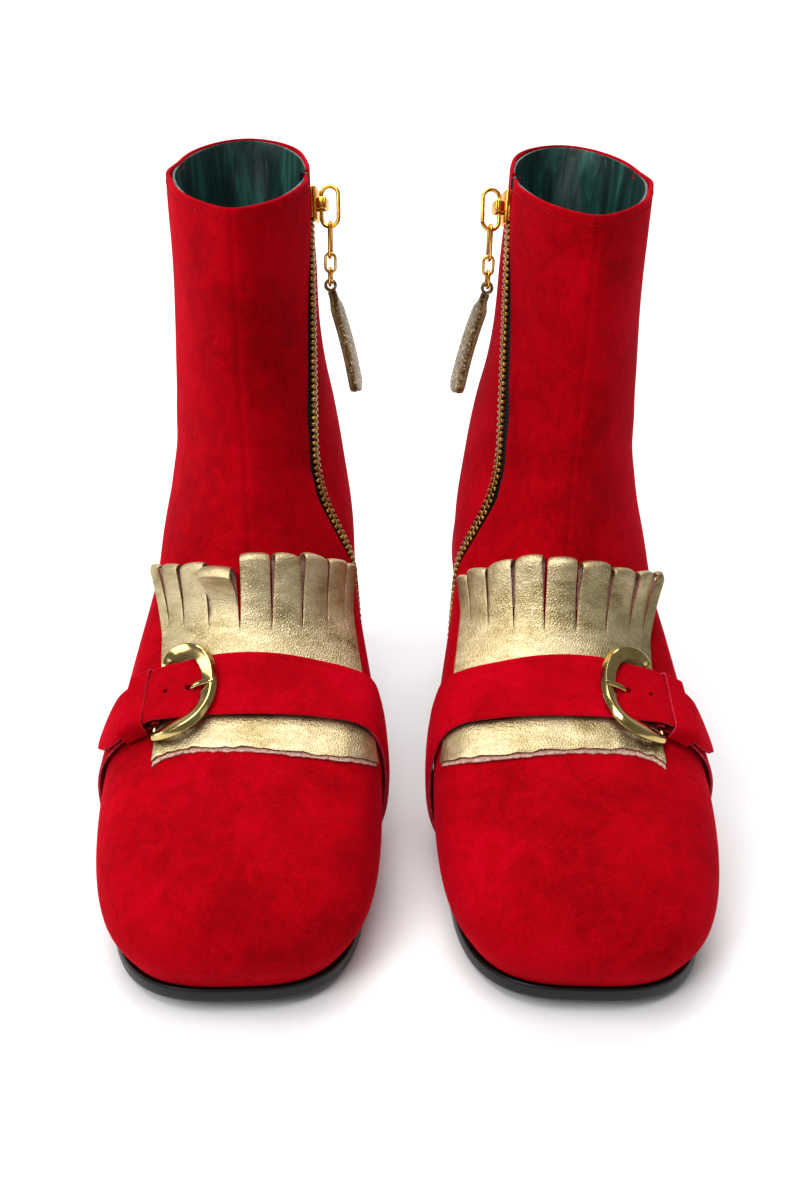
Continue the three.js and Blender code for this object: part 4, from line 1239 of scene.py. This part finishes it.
# %% Strap
STRAP_Y, STRAP_HALF, STRAP_THICK = 82.5, 10.0, 1.3
TAIL_END = -54.5
BAR_AT = -30.5
STITCH_INSET = 8.2  # from the strap's middle to each row of stitches
HOLES = ((-18.9, 1.15), (-26.0, 0.8))  # distance round the foot and radius
RISE_AT = [TAIL_END, -41, -37, -34, BAR_AT, -25, -20, -14, 40, 47, 56]
RISE_BY = [2.5, 2.5, 2.9, 4.2, 5.4, 4.0, 2.7, 1.85, 1.75, 0.3, 0.15]


def strap_rise(s):
    """Height of the strap's underside, with the knots' corners smoothed away."""
    spread = np.linspace(-4, 4, 17)
    weight = np.exp(-(spread / 2.2) ** 2)
    samples = np.interp(np.asarray(s)[..., None] + spread, RISE_AT, RISE_BY)
    return (samples * weight).sum(-1) / weight.sum()


def strap_height(y, s):
    """Height of the strap's face: crowned across, turned down at its edges."""
    u = (y - STRAP_Y) / STRAP_HALF
    crown = 0.25 * (1 - u * u) - 0.45 * np.clip((abs(u) - 0.86) / 0.14, 0, 1) ** 2
    groove = -0.22 * np.exp(-(((abs(u) * STRAP_HALF - STITCH_INSET) / 0.7) ** 2))
    return strap_rise(s) + STRAP_THICK + crown + groove


def cylinder_between(start, end, radius, segments):
    """A cylinder whose ends are at two points of the last, in mm."""
    a, b = (Vector(to_frame(p)) for p in (start, end))
    deselect()
    bpy.ops.mesh.primitive_cylinder_add(
        vertices=segments, radius=radius / 1000, depth=(b - a).length,
        location=(a + b) / 2, rotation=(b - a).to_track_quat("Z", "Y").to_euler())
    return bpy.context.object


def make_strap():
    across = np.sort(np.concatenate([graded(-1, 1, 25, 0.7), [-0.82, 0.82]]))
    share = np.concatenate([[0, 0.002, 0.006], np.linspace(0.012, 1, 96)])
    columns = []
    for u in across:
        s = TAIL_END + share * (medial_end(STRAP_Y + u * STRAP_HALF) - 0.8 - TAIL_END)
        tip = np.clip((TAIL_END + STRAP_HALF - s) / STRAP_HALF, 0, 1)
        half = STRAP_HALF * np.sqrt(np.clip(1 - tip ** 2, 0.02, 1))
        column = [over(STRAP_Y + u * h, [a], strap_height(STRAP_Y + u * h, a))[0]
                  for a, h in zip(s, half)]
        columns.append(np.stack(column))
    points = np.stack(columns, 1)
    piece = sheet_grid("right_strap_band", points, [strap_suede, red_edge])
    thicken(piece, STRAP_THICK, 0.35, rim=1)
    for at, radius in HOLES:
        punch(piece, at, radius)
    return smooth(piece, 55)


def punch(piece, at, radius):
    """Cuts a round hole through the strap at a distance round the foot."""
    drill = cylinder_between(*over(STRAP_Y, [at, at], [0.5, 12.0]), radius, 20)
    apply_modifier(piece, "BOOLEAN", operation="DIFFERENCE", object=drill, solver="EXACT")
    bpy.data.objects.remove(drill)


wear_both(make_strap(), "boot", "strap_suede", "strap")

# %% [markdown]
# A row of stitches runs along each edge of the strap. It starts where the tail leaves the
# keeper and ends just before the sole.


# %% Strap stitches
def strap_stitches(side):
    s = np.linspace(-46, medial_end(STRAP_Y) - 3, 240)
    y = STRAP_Y + side * STITCH_INSET
    path = over(y, s, strap_height(y, s) + 0.02)
    normals = over(y, s, 1.0 + 0 * s) - over(y, s, 0 * s)
    name = "right_strap_stitches_back" if side > 0 else "right_strap_stitches_front"
    return stitch_line(name, path, normals, red_thread, 3.0, THREAD_RADIUS)


for edge in (-1, 1):
    wear_both(strap_stitches(edge), "boot", "strap_suede")

# %% [markdown]
# The chape is the short strap that holds the buckle: it comes up from the sole and turns
# round the bar, with a slot left for the prong. A real one goes on and is sewn to itself,
# which the strap hides here. The keeper is a loop of the same suede round the strap's tail.
# Both are bands bent along a path, so each path is written as points in the cross-section
# and repeated across the band's width.

# %% Chape and keeper
BAR_OFFSET = 2.9
CHAPE_HALF = 9.3
CHAPE_TURN = 1.4  # radius of its turn round the bar
CHAPE_ROWS, TURN_ROWS = 26, 14
BAND_THICK = 0.9
PRONG_SLOT = 2.3  # half width
KEEPER_AT = (-40.5, -33.2)
KEEPER_TOP = 6.3


def make_chape():
    across = graded(-1, 1, 21, 0.5) * CHAPE_HALF
    columns = []
    for y in across + STRAP_Y:
        low = lateral_end(y) + 1.0
        s = np.linspace(low, BAR_AT - 0.6, CHAPE_ROWS)
        turn = np.linspace(-0.42, 0.85, TURN_ROWS) * math.pi
        path_s = np.concatenate([s, BAR_AT + CHAPE_TURN * np.cos(turn)])
        path_o = np.concatenate([np.full_like(s, BAR_OFFSET - CHAPE_TURN),
                                 BAR_OFFSET + CHAPE_TURN * np.sin(turn)])
        columns.append(over(y, path_s, path_o))
    points = np.stack(columns, 1)
    keep = np.ones((points.shape[0] - 1, len(across) - 1), bool)
    middle = np.abs((across[1:] + across[:-1]) / 2) < PRONG_SLOT
    keep[CHAPE_ROWS - 1:, middle] = False
    piece = sheet_grid("right_chape_band", points, [strap_suede, red_edge], keep=keep)
    return smooth(thicken(piece, BAND_THICK, 0.2, rim=1), 55)


def make_keeper():
    half, radius = STRAP_HALF + 1.3, 1.4
    corner = np.linspace(0, math.pi / 2, 7)
    y = np.concatenate([[-half, -half], -half + radius * (1 - np.cos(corner)),
                        np.linspace(-half + radius, half - radius, 14)[1:-1],
                        half - radius * (1 - np.sin(corner)), [half, half]])
    offset = BAND_THICK + np.concatenate([
        [0.9, 2.4], KEEPER_TOP - radius * (1 - np.sin(corner)), np.full(12, KEEPER_TOP),
        KEEPER_TOP - radius * (1 - np.cos(corner)), [2.4, 0.9]])
    s = graded(KEEPER_AT[0], KEEPER_AT[1], 9, 0.6)
    points = np.stack([over(STRAP_Y + a, s, np.full_like(s, b)) for a, b in zip(y, offset)], 1)
    piece = sheet_grid("right_keeper_loop", points, [strap_suede, red_edge])
    return smooth(thicken(piece, BAND_THICK, 0.25, rim=1), 55)


wear_both(make_chape(), "boot", "strap_suede", "chape")
wear_both(make_keeper(), "boot", "strap_suede", "strap_keeper")

# %% [markdown]
# The buckle is one casting: a flat, bevelled bow closed by a round bar. A curve with a
# bevel profile could make the bow, but it must lie along the foot's curve with its flat
# side up, so the profile is swept by hand along points on the foot, and the bar is a
# cylinder let into its two ends. The prong is a tongue with an eye that turns on the bar.

# %% Sweeping a profile
BUCKLE_HALF = 14.0


def sweep(name, path, normals, profile, materials, scale=None):
    """A closed solid of a profile (across, up) swept along a path, capped at both ends."""
    along = unit(np.gradient(path, axis=0))
    side = unit(np.cross(along, normals))
    up = unit(np.cross(side, along))
    profile = np.array(profile)
    scale = np.ones(len(path)) if scale is None else scale
    rings = [p + s * (profile[:, :1] * a + profile[:, 1:] * b)
             for p, a, b, s in zip(path, side, up, scale)]
    n, rows = len(profile), len(path)
    faces = [(r * n + k, r * n + (k + 1) % n, (r + 1) * n + (k + 1) % n, (r + 1) * n + k)
             for r in range(rows - 1) for k in range(n)]
    faces += [tuple(range(n))[::-1], tuple((rows - 1) * n + k for k in range(n))]
    piece = mesh_object(name, to_frame(np.concatenate(rings)), faces, materials)
    turn_outwards(piece)
    return piece


def spline(points, count, rounds=2):
    """A smooth line through points: Chaikin corner cutting and then even spacing."""
    p = np.array(points, float)
    for _ in range(rounds):
        cut = np.empty((2 * len(p) - 2, 3))
        cut[0::2] = 0.75 * p[:-1] + 0.25 * p[1:]
        cut[1::2] = 0.25 * p[:-1] + 0.75 * p[1:]
        p = np.concatenate([p[:1], cut, p[-1:]])
    length = walked(p)
    return sampled(np.linspace(0, length[-1], count), length, p)


def bar_point(y):
    start, ahead = (over(STRAP_Y + k, [BAR_AT], [BAR_OFFSET])[0] for k in (0, 1))
    return start + unit(ahead - start) * y


def on_strap(y, s, offset):
    return over(STRAP_Y + y, [s], [offset])[0]


def rod_between(name, start, end, radius, material):
    """A cylinder between two points in mm, its rims bevelled."""
    bar = cylinder_between(start, end, radius, 28)
    bar.name = name
    bpy.ops.object.transform_apply(location=True, rotation=True, scale=True)
    bar.data.materials.append(material)
    apply_modifier(bar, "BEVEL", width=min(0.3, radius * 0.3) / 1000, segments=2,
                   limit_method="ANGLE", angle_limit=math.radians(50))
    return bar


def join(name, first, *others):
    only(first)
    for other in others:
        other.select_set(True)
    bpy.ops.object.join()
    first.name = name
    return first


print("bar from", to_frame(bar_point(-BUCKLE_HALF)).round(4))

# %% [markdown]
# Half of the bow is seven points over the strap, and the other half is the same mirrored.
# It thins towards the bar. The prong starts in its eye on the bar, passes through the
# strap's hole from below and comes to rest on the bow.

# %% Buckle frame and prong
# Distance from the strap's middle, distance round the foot and height over the last.
HALF_BOW = [(14.6, -30.2, 3.4), (15.5, -27.6, 4.4), (15.6, -24.2, 5.2), (14.6, -19.8, 5.8),
            (11.8, -15.4, 6.1), (6.9, -12.6, 6.3), (2.4, -11.7, 6.4)]
BOW_INSET = 1.4  # of the bow's ends along the bar
BAR_RADIUS, EYE_RADIUS = 1.1, 1.8
BOW_RINGS, PRONG_RINGS = 90, 40


def make_buckle():
    line = [bar_point(BUCKLE_HALF - BOW_INSET)] + [on_strap(*p) for p in HALF_BOW]
    line += [on_strap(-y, s, o) for y, s, o in reversed(HALF_BOW)]
    line += [bar_point(BOW_INSET - BUCKLE_HALF)]
    path = spline(line, BOW_RINGS)
    top = over(STRAP_Y, [-24.0], [30.0])[0] - over(STRAP_Y, [-24.0], [0.0])[0]
    centre = on_strap(0, -26.0, 0)
    normals = unit(unit(top) * 34 + (path - centre) * 0.45)
    profile = [(-2.3, -0.5), (-1.9, -1.0), (2.5, -1.0), (3.0, -0.75), (3.0, -0.4),
               (-0.2, 1.35), (-0.8, 1.35), (-2.3, 0.1)]
    from_end = np.minimum(np.linspace(0, 1, BOW_RINGS), np.linspace(1, 0, BOW_RINGS))
    slim = 0.72 + 0.28 * ease(from_end * 6)
    bow = sweep("bow", path, normals, profile, [pale_gold], slim)
    apply_modifier(bow, "BEVEL", width=0.00022, segments=2, limit_method="ANGLE",
                   angle_limit=math.radians(18))
    bar = rod_between("bar", bar_point(-BUCKLE_HALF), bar_point(BUCKLE_HALF), BAR_RADIUS,
                      pale_gold)
    return smooth(join("right_buckle_bow", bow, bar), 35)


def make_prong():
    line = [on_strap(0, BAR_AT + 1.6, 3.6), on_strap(0, -26, 2.4), on_strap(0, -21, 2.3),
            on_strap(0, -18.6, 4.4), on_strap(0, -16.2, 6.5), on_strap(0, -10.6, 8.2)]
    path = spline(line, PRONG_RINGS)
    normals = np.tile(unit(on_strap(0, -20.0, 9.0) - on_strap(0, -20.0, 0.0)), (PRONG_RINGS, 1))
    angles = np.linspace(0, 2 * math.pi, 14, endpoint=False)
    profile = [(1.25 * math.cos(a), 0.7 * math.sin(a)) for a in angles]
    taper = 1 - 0.25 * np.linspace(0, 1, PRONG_RINGS) ** 2
    taper[-3:] *= (0.95, 0.8, 0.45)
    tongue = sweep("tongue", path, normals, profile, [pale_gold], taper)
    eye = rod_between("eye", bar_point(-1.2), bar_point(1.2), EYE_RADIUS, pale_gold)
    return smooth(join("right_prong", tongue, eye), 50)


wear_both(make_buckle(), "buckle_frame", "buckle_gold", "buckle_frame")
wear_both(make_prong(), "buckle_prong", "buckle_gold", "buckle_prong")

# %% [markdown]
# A metal zip has separate teeth clamped on the edge of a woven tape. One tooth is modelled
# from a cube, bevelled until it is the bead that shows, and copied down both edges, the
# two rows half a pitch apart. The tapes are sheets just under the edges of the slot.

# %% Zip teeth and tapes
TOOTH_PITCH = 2.3
TOOTH = (2.6, 1.5, 1.9)  # across the zip, along it and out of it
TEETH_START = 8.0
TAPE_THICK = 0.45


def tooth_template():
    deselect()
    bpy.ops.mesh.primitive_cube_add(size=1)
    tooth = bpy.context.object
    bpy.ops.object.mode_set(mode="EDIT")
    bpy.ops.transform.resize(value=TOOTH)
    bpy.ops.object.mode_set(mode="OBJECT")
    return apply_modifier(tooth, "BEVEL", width=0.5, segments=2)


def make_teeth(front):
    shift = 0.0 if front > 0 else TOOTH_PITCH / 2
    at = np.arange(TEETH_START + shift, zip_steps[-1] - 1.5, TOOTH_PITCH)
    origins = beside_zip(at, np.full_like(at, front * 0.95), np.full_like(at, 0.15))
    forward = unit(beside_zip(at, at * 0 + 1, at * 0) - beside_zip(at, at * 0, at * 0))
    out = unit(beside_zip(at, at * 0, at * 0 + 1) - beside_zip(at, at * 0, at * 0))
    along = np.cross(out, forward)
    name = "right_teeth_front" if front > 0 else "right_teeth_back"
    return copies(name, tooth_template(), origins, forward, along, out, aged_brass)


def make_tape(front):
    reach = np.linspace(0.4, 5.0, 6)[None, :] * front
    down = np.linspace(0.5, zip_steps[-1] - 0.5, 100)[:, None]
    down, reach = np.broadcast_arrays(down, reach)
    depth = -0.9 - 1.1 * ease((np.abs(reach) - 1.0) / 3) - reach ** 2 / 30
    points = beside_zip(down, reach, depth)
    points = points if front < 0 else points[:, ::-1]
    name = "right_tape_front" if front > 0 else "right_tape_back"
    piece = sheet_grid(name, points, [zip_fabric])
    return smooth(thicken(piece, TAPE_THICK, 0.0))


for front, label in ((1, "front"), (-1, "back")):
    wear_both(make_teeth(front), "boot", "zip_brass", f"zip_teeth_{label}")
    wear_both(make_tape(front), "boot", "zip_tape", f"zip_tape_{label}")

# %% [markdown]
# From the zip's slider hang an oval ring, two links, a small ring and a leather tab. Every
# piece is modelled flat at the origin in millimetres and then set in its own axes, which
# are worked out from the zip's line like the CAD pivots.

# %% Axes of the pull chain
SLIDER_FROM_RIM = 11.0
# Width, length and radius of the wire.
RING, LONG_LINK, SHORT_LINK, TAB_RING = (8, 16, 0.8), (5, 14, 0.6), (5, 8, 0.6), (5, 7.5, 0.6)
WIRE_SHRINK = 0.06  # the drawn wire is thinner than the sizes above, to leave it room
PLAY = 0.35
TAB_LEAN = math.radians(15)
UP = np.array([0, 0, 1.0])


def axes(x, z):
    """Right-handed axes with the given outward x and upward z."""
    return unit(x), unit(np.cross(z, x)), unit(z)


def set_in(piece, origin, basis):
    """Moves a mesh in mm from the origin into its axes on the boot, in the frame."""
    flat = np.array([v.co for v in piece.data.vertices])
    placed = to_frame(origin + sum(flat[:, k:k + 1] * basis[k] for k in range(3)))
    piece.data.vertices.foreach_set("co", placed.ravel())
    piece.data.update()
    return piece


along_zip = axes(zip_out, -zip_down)
slider_at = zip_top + zip_down * SLIDER_FROM_RIM
ring_at = slider_at + along_zip[0] * 4
ring_high = (RING[1] - 2 * RING[2]) / 2 - 1
hook = (ring_at + along_zip[0] * (RING[0] / 2 - RING[2])
        + along_zip[2] * (ring_high - (RING[1] - 2 * RING[2])))
plumb = axes(zip_out - UP * (zip_out @ UP), UP)

# %% [markdown]
# The slider is a body that grips both rows of teeth, with a bridge that the pull hangs on.
# It is built of bevelled blocks, its face narrowed at the lower end. A link is a torus
# whose two halves are drawn apart in edit mode, because a chain's wire keeps its thickness
# round the bends, which a scaled torus would not.


# %% Slider, links and rings
def block(size, centre, bevel):
    """A bevelled box in mm."""
    deselect()
    bpy.ops.mesh.primitive_cube_add(size=1)
    piece = bpy.context.object
    bpy.ops.object.mode_set(mode="EDIT")
    bpy.ops.transform.resize(value=size)
    bpy.ops.transform.translate(value=centre)
    bpy.ops.object.mode_set(mode="OBJECT")
    return apply_modifier(piece, "BEVEL", width=bevel, segments=3)


def make_slider():
    plate = block((1.3, 8.4, 12), (2.0, 0, 0), 0.5)
    select_vertices(plate, lambda place: place.z < -3)
    bpy.ops.transform.resize(value=(1, 0.72, 1), center_override=(2.0, 0, -6))
    bpy.ops.object.mode_set(mode="OBJECT")
    flanges = [block((2.0, 0.8, 11), (0.6, side * 3.1, 0.3), 0.3) for side in (-1, 1)]
    posts = [block((3.0, 1.0, 4.2), (4.0, side * 2.3, 0), 0.35) for side in (-1, 1)]
    bridge = block((1.0, 5.6, 4.2), (5.8, 0, 0), 0.4)
    piece = join("right_slider", plate, *flanges, *posts, bridge)
    piece.data.materials.append(yellow_gold)
    return smooth(set_in(piece, slider_at, along_zip), 40)


def make_link(name, size, edge_on, shift, origin, basis):
    """An oval link: a torus whose halves are drawn apart, hung by its top wire."""
    width, length, wire = size
    deselect()
    bpy.ops.mesh.primitive_torus_add(major_segments=40, minor_segments=14,
                                     major_radius=width / 2 - wire,
                                     minor_radius=wire - WIRE_SHRINK)
    piece = bpy.context.object
    piece.name = name
    for half in (-1, 1):
        select_vertices(piece, lambda place: place.y * half > 1e-5)
        bpy.ops.transform.translate(value=(0, half * (length - width) / 2, 0))
        bpy.ops.object.mode_set(mode="OBJECT")
    stand = Matrix.Rotation(math.pi / 2, 4, "X")
    turn = Matrix.Rotation(math.pi / 2 if edge_on else 0, 4, "Z")
    hang = Matrix.Translation((0, 0, wire - length / 2))
    piece.data.transform(Matrix.Translation(shift) @ turn @ hang @ stand)
    piece.data.materials.append(yellow_gold)
    return smooth(set_in(piece, origin, basis), 60)


wear_both(make_slider(), "zip_slider", "zip_brass", "zip_slider")
ring_shift = (RING[0] / 2 - RING[2], 0, ring_high)
wear_both(make_link("right_oval_ring", RING, False, ring_shift, ring_at, along_zip),
          "pull_ring", "zip_brass", "pull_ring")
upper = RING
for part, size, edge_on in (("long_link", LONG_LINK, True), ("short_link", SHORT_LINK, False),
                            ("tab_ring", TAB_RING, True)):
    hang = upper[2] + size[2] + PLAY
    wear_both(make_link(f"right_{part}_wire", size, edge_on, (0, 0, hang), hook, plumb),
              part, "zip_brass", part)
    hook = hook + UP * (hang - (size[1] - 2 * size[2]))
    upper = size

# %% [markdown]
# The pull tab is two leathers glued back to back, glitter outside and plain brown inside,
# narrowed at the top where it loops through the last ring. Each leather is a sheet in the
# tab's outline, thickened; the small eye that holds the ring is a torus drawn out sideways.

# %% Pull tab
TAB_LENGTH, TAB_WIDTH = 41.0, 11.0
TAB_END = 4.0  # length of its rounded end
SHOULDER = 4.7  # half width where the body begins
TAB_ACROSS = 9


def tab_outline():
    """Half widths of the tab from its eye down to its round end, as (down, half)."""
    half = TAB_WIDTH / 2
    neck = [(2.2, 1.1), (4.8, 1.3), (6.3, 2.6), (8.0, 4.3), (10.0, SHOULDER)]
    body = [(d, SHOULDER + (half - SHOULDER) * (d - 10) / 27)
            for d in np.linspace(12, TAB_LENGTH - TAB_END, 12)]
    end = [(TAB_LENGTH - TAB_END + TAB_END * math.sin(a), half - TAB_END * (1 - math.cos(a)))
           for a in np.linspace(0.2, 1.5, 7)]
    return np.array(neck + body + end)


def tab_layer(name, low, high, material):
    """One leather of the tab, from height low to high, slightly bowed along its length."""
    outline = tab_outline()
    across = np.linspace(-1, 1, TAB_ACROSS)
    down = outline[:, 0][:, None] * np.ones(TAB_ACROSS)
    y = outline[:, 1][:, None] * across
    bow = 0.9 * np.sin(np.pi * (down - 2) / 39) - 0.25 * across ** 2
    points = np.stack([high + bow, y, -down], -1)
    rows, columns = points.shape[:2]
    faces = [(k, k + columns, k + columns + 1, k + 1)
             for j in range(rows - 1) for k in range(j * columns, (j + 1) * columns - 1)]
    piece = mesh_object(name, points.reshape(-1, 3), faces, [material])
    apply_modifier(piece, "SOLIDIFY", thickness=high - low, offset=-1)
    return apply_modifier(piece, "BEVEL", width=0.35, segments=3, limit_method="ANGLE",
                          angle_limit=math.radians(50))


def make_tab():
    face = tab_layer("tab_face", 0.05, 1.5, glitter)
    back = tab_layer("tab_back", -1.5, -0.05, tab_back)
    deselect()
    bpy.ops.mesh.primitive_torus_add(major_segments=24, minor_segments=10, major_radius=1.85,
                                     minor_radius=0.62, rotation=(math.pi / 2, 0, 0))
    bpy.ops.object.transform_apply(rotation=True)
    eye = bpy.context.object
    bpy.ops.object.mode_set(mode="EDIT")
    bpy.ops.transform.resize(value=(1, 2.1, 1))
    bpy.ops.object.mode_set(mode="OBJECT")
    eye.data.materials.append(glitter)
    piece = join("right_leather_tab", face, back, eye)
    c, s = math.cos(TAB_LEAN), math.sin(TAB_LEAN)
    leant = (plumb[0] * c + plumb[2] * s, plumb[1], plumb[2] * c - plumb[0] * s)
    return smooth(set_in(piece, hook, leant), 50)


wear_both(make_tab(), "pull_tab", "glitter_leather", "pull_tab")

# %% [markdown]
# What the boot holds inside keeps its CAD shape, because it is hidden or nearly so: the
# shank, the insole board, the sock lining and the two stiffeners. Each still gets the
# finish of the real thing.

# %% Finishes of the carried-over pieces
INSIDE = {"shank": spring_steel, "insole_board": fibreboard, "sock_lining": green_lining,
          "toe_puff": puff_board, "heel_counter": puff_board}
for side in SIDES:
    for part, material in INSIDE.items():
        cad_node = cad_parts[f"{side}_{part}"]
        cad_node.data.materials.clear()
        cad_node.data.materials.append(material)
print("carried over", len(INSIDE) * len(SIDES))

# %% [markdown]
# The boots stand on a pale floor that curves up into a backdrop. The light is soft and
# comes mostly from above: a wide panel overhead, a key in front and to the left, a weak
# panel at the left side and a weaker one at the right. One more lights only the backdrop.

# %% Floor and lights
FLOOR_HALF, FLOOR_FRONT, WALL_TOP = 4.0, -3.0, 5.0  # in metres
BEND_Y, BEND = 1.6, 1.2  # where the floor starts to curve, and the curve's radius
MIDDLE_OF_BOOTS = (0, 0, 0.1)


def make_floor():
    material, tree, shader, place = finish("pale_studio_paper", Roughness=0.9)
    tint = node(tree, "ShaderNodeTexNoise", {"Vector": place, "Scale": per_mm(60)})
    colour = ramp(tree, tint.outputs["Fac"], (0.3, "#f1f1f1"), (0.7, "#f5f5f5"))
    tree.links.new(colour, shader.inputs["Base Color"])
    turn = np.linspace(0.1, 1.57, 14)
    y = np.concatenate([[FLOOR_FRONT, BEND_Y], BEND_Y + BEND * np.sin(turn), [BEND_Y + BEND]])
    z = np.concatenate([[0.0, 0.0], BEND * (1 - np.cos(turn)), [WALL_TOP]])
    points = [(x, a, b) for a, b in zip(y, z) for x in (-FLOOR_HALF, FLOOR_HALF)]
    faces = [(2 * k, 2 * k + 1, 2 * k + 3, 2 * k + 2) for k in range(len(y) - 1)]
    floor = mesh_object("studio_floor", points, faces, [material])
    smooth(floor, 60)


def area_light(name, spot, target, size, power):
    data = bpy.data.lights.new(name, "AREA")
    data.shape = "RECTANGLE"
    data.size, data.size_y = size
    data.energy = power
    light = bpy.data.objects.new(name, data)
    light.location = spot
    light.rotation_euler = (Vector(target) - Vector(spot)).to_track_quat("-Z", "Y").to_euler()
    bpy.context.scene.collection.objects.link(light)


make_floor()
area_light("overhead", (-0.25, -0.2, 1.5), MIDDLE_OF_BOOTS, (1.2, 1.0), 17)
area_light("key", (-0.95, -1.0, 1.25), MIDDLE_OF_BOOTS, (0.6, 0.7), 12)
area_light("side", (-1.5, 0.1, 0.7), MIDDLE_OF_BOOTS, (0.5, 0.6), 4.5)
area_light("fill", (1.2, -0.8, 0.8), MIDDLE_OF_BOOTS, (0.5, 0.8), 0.6)
area_light("backdrop", (0.0, 1.3, 2.4), (0, 2.2, 0.2), (2.4, 0.8), 60)
world = bpy.data.worlds.new("studio")
world.use_nodes = True
background = world.node_tree.nodes["Background"]
background.inputs["Color"].default_value = linear("#f4f4f6")
background.inputs["Strength"].default_value = 0.24
bpy.context.scene.world = world
bpy.context.scene.view_settings.view_transform = "Standard"
print("lights", len(bpy.data.lights))
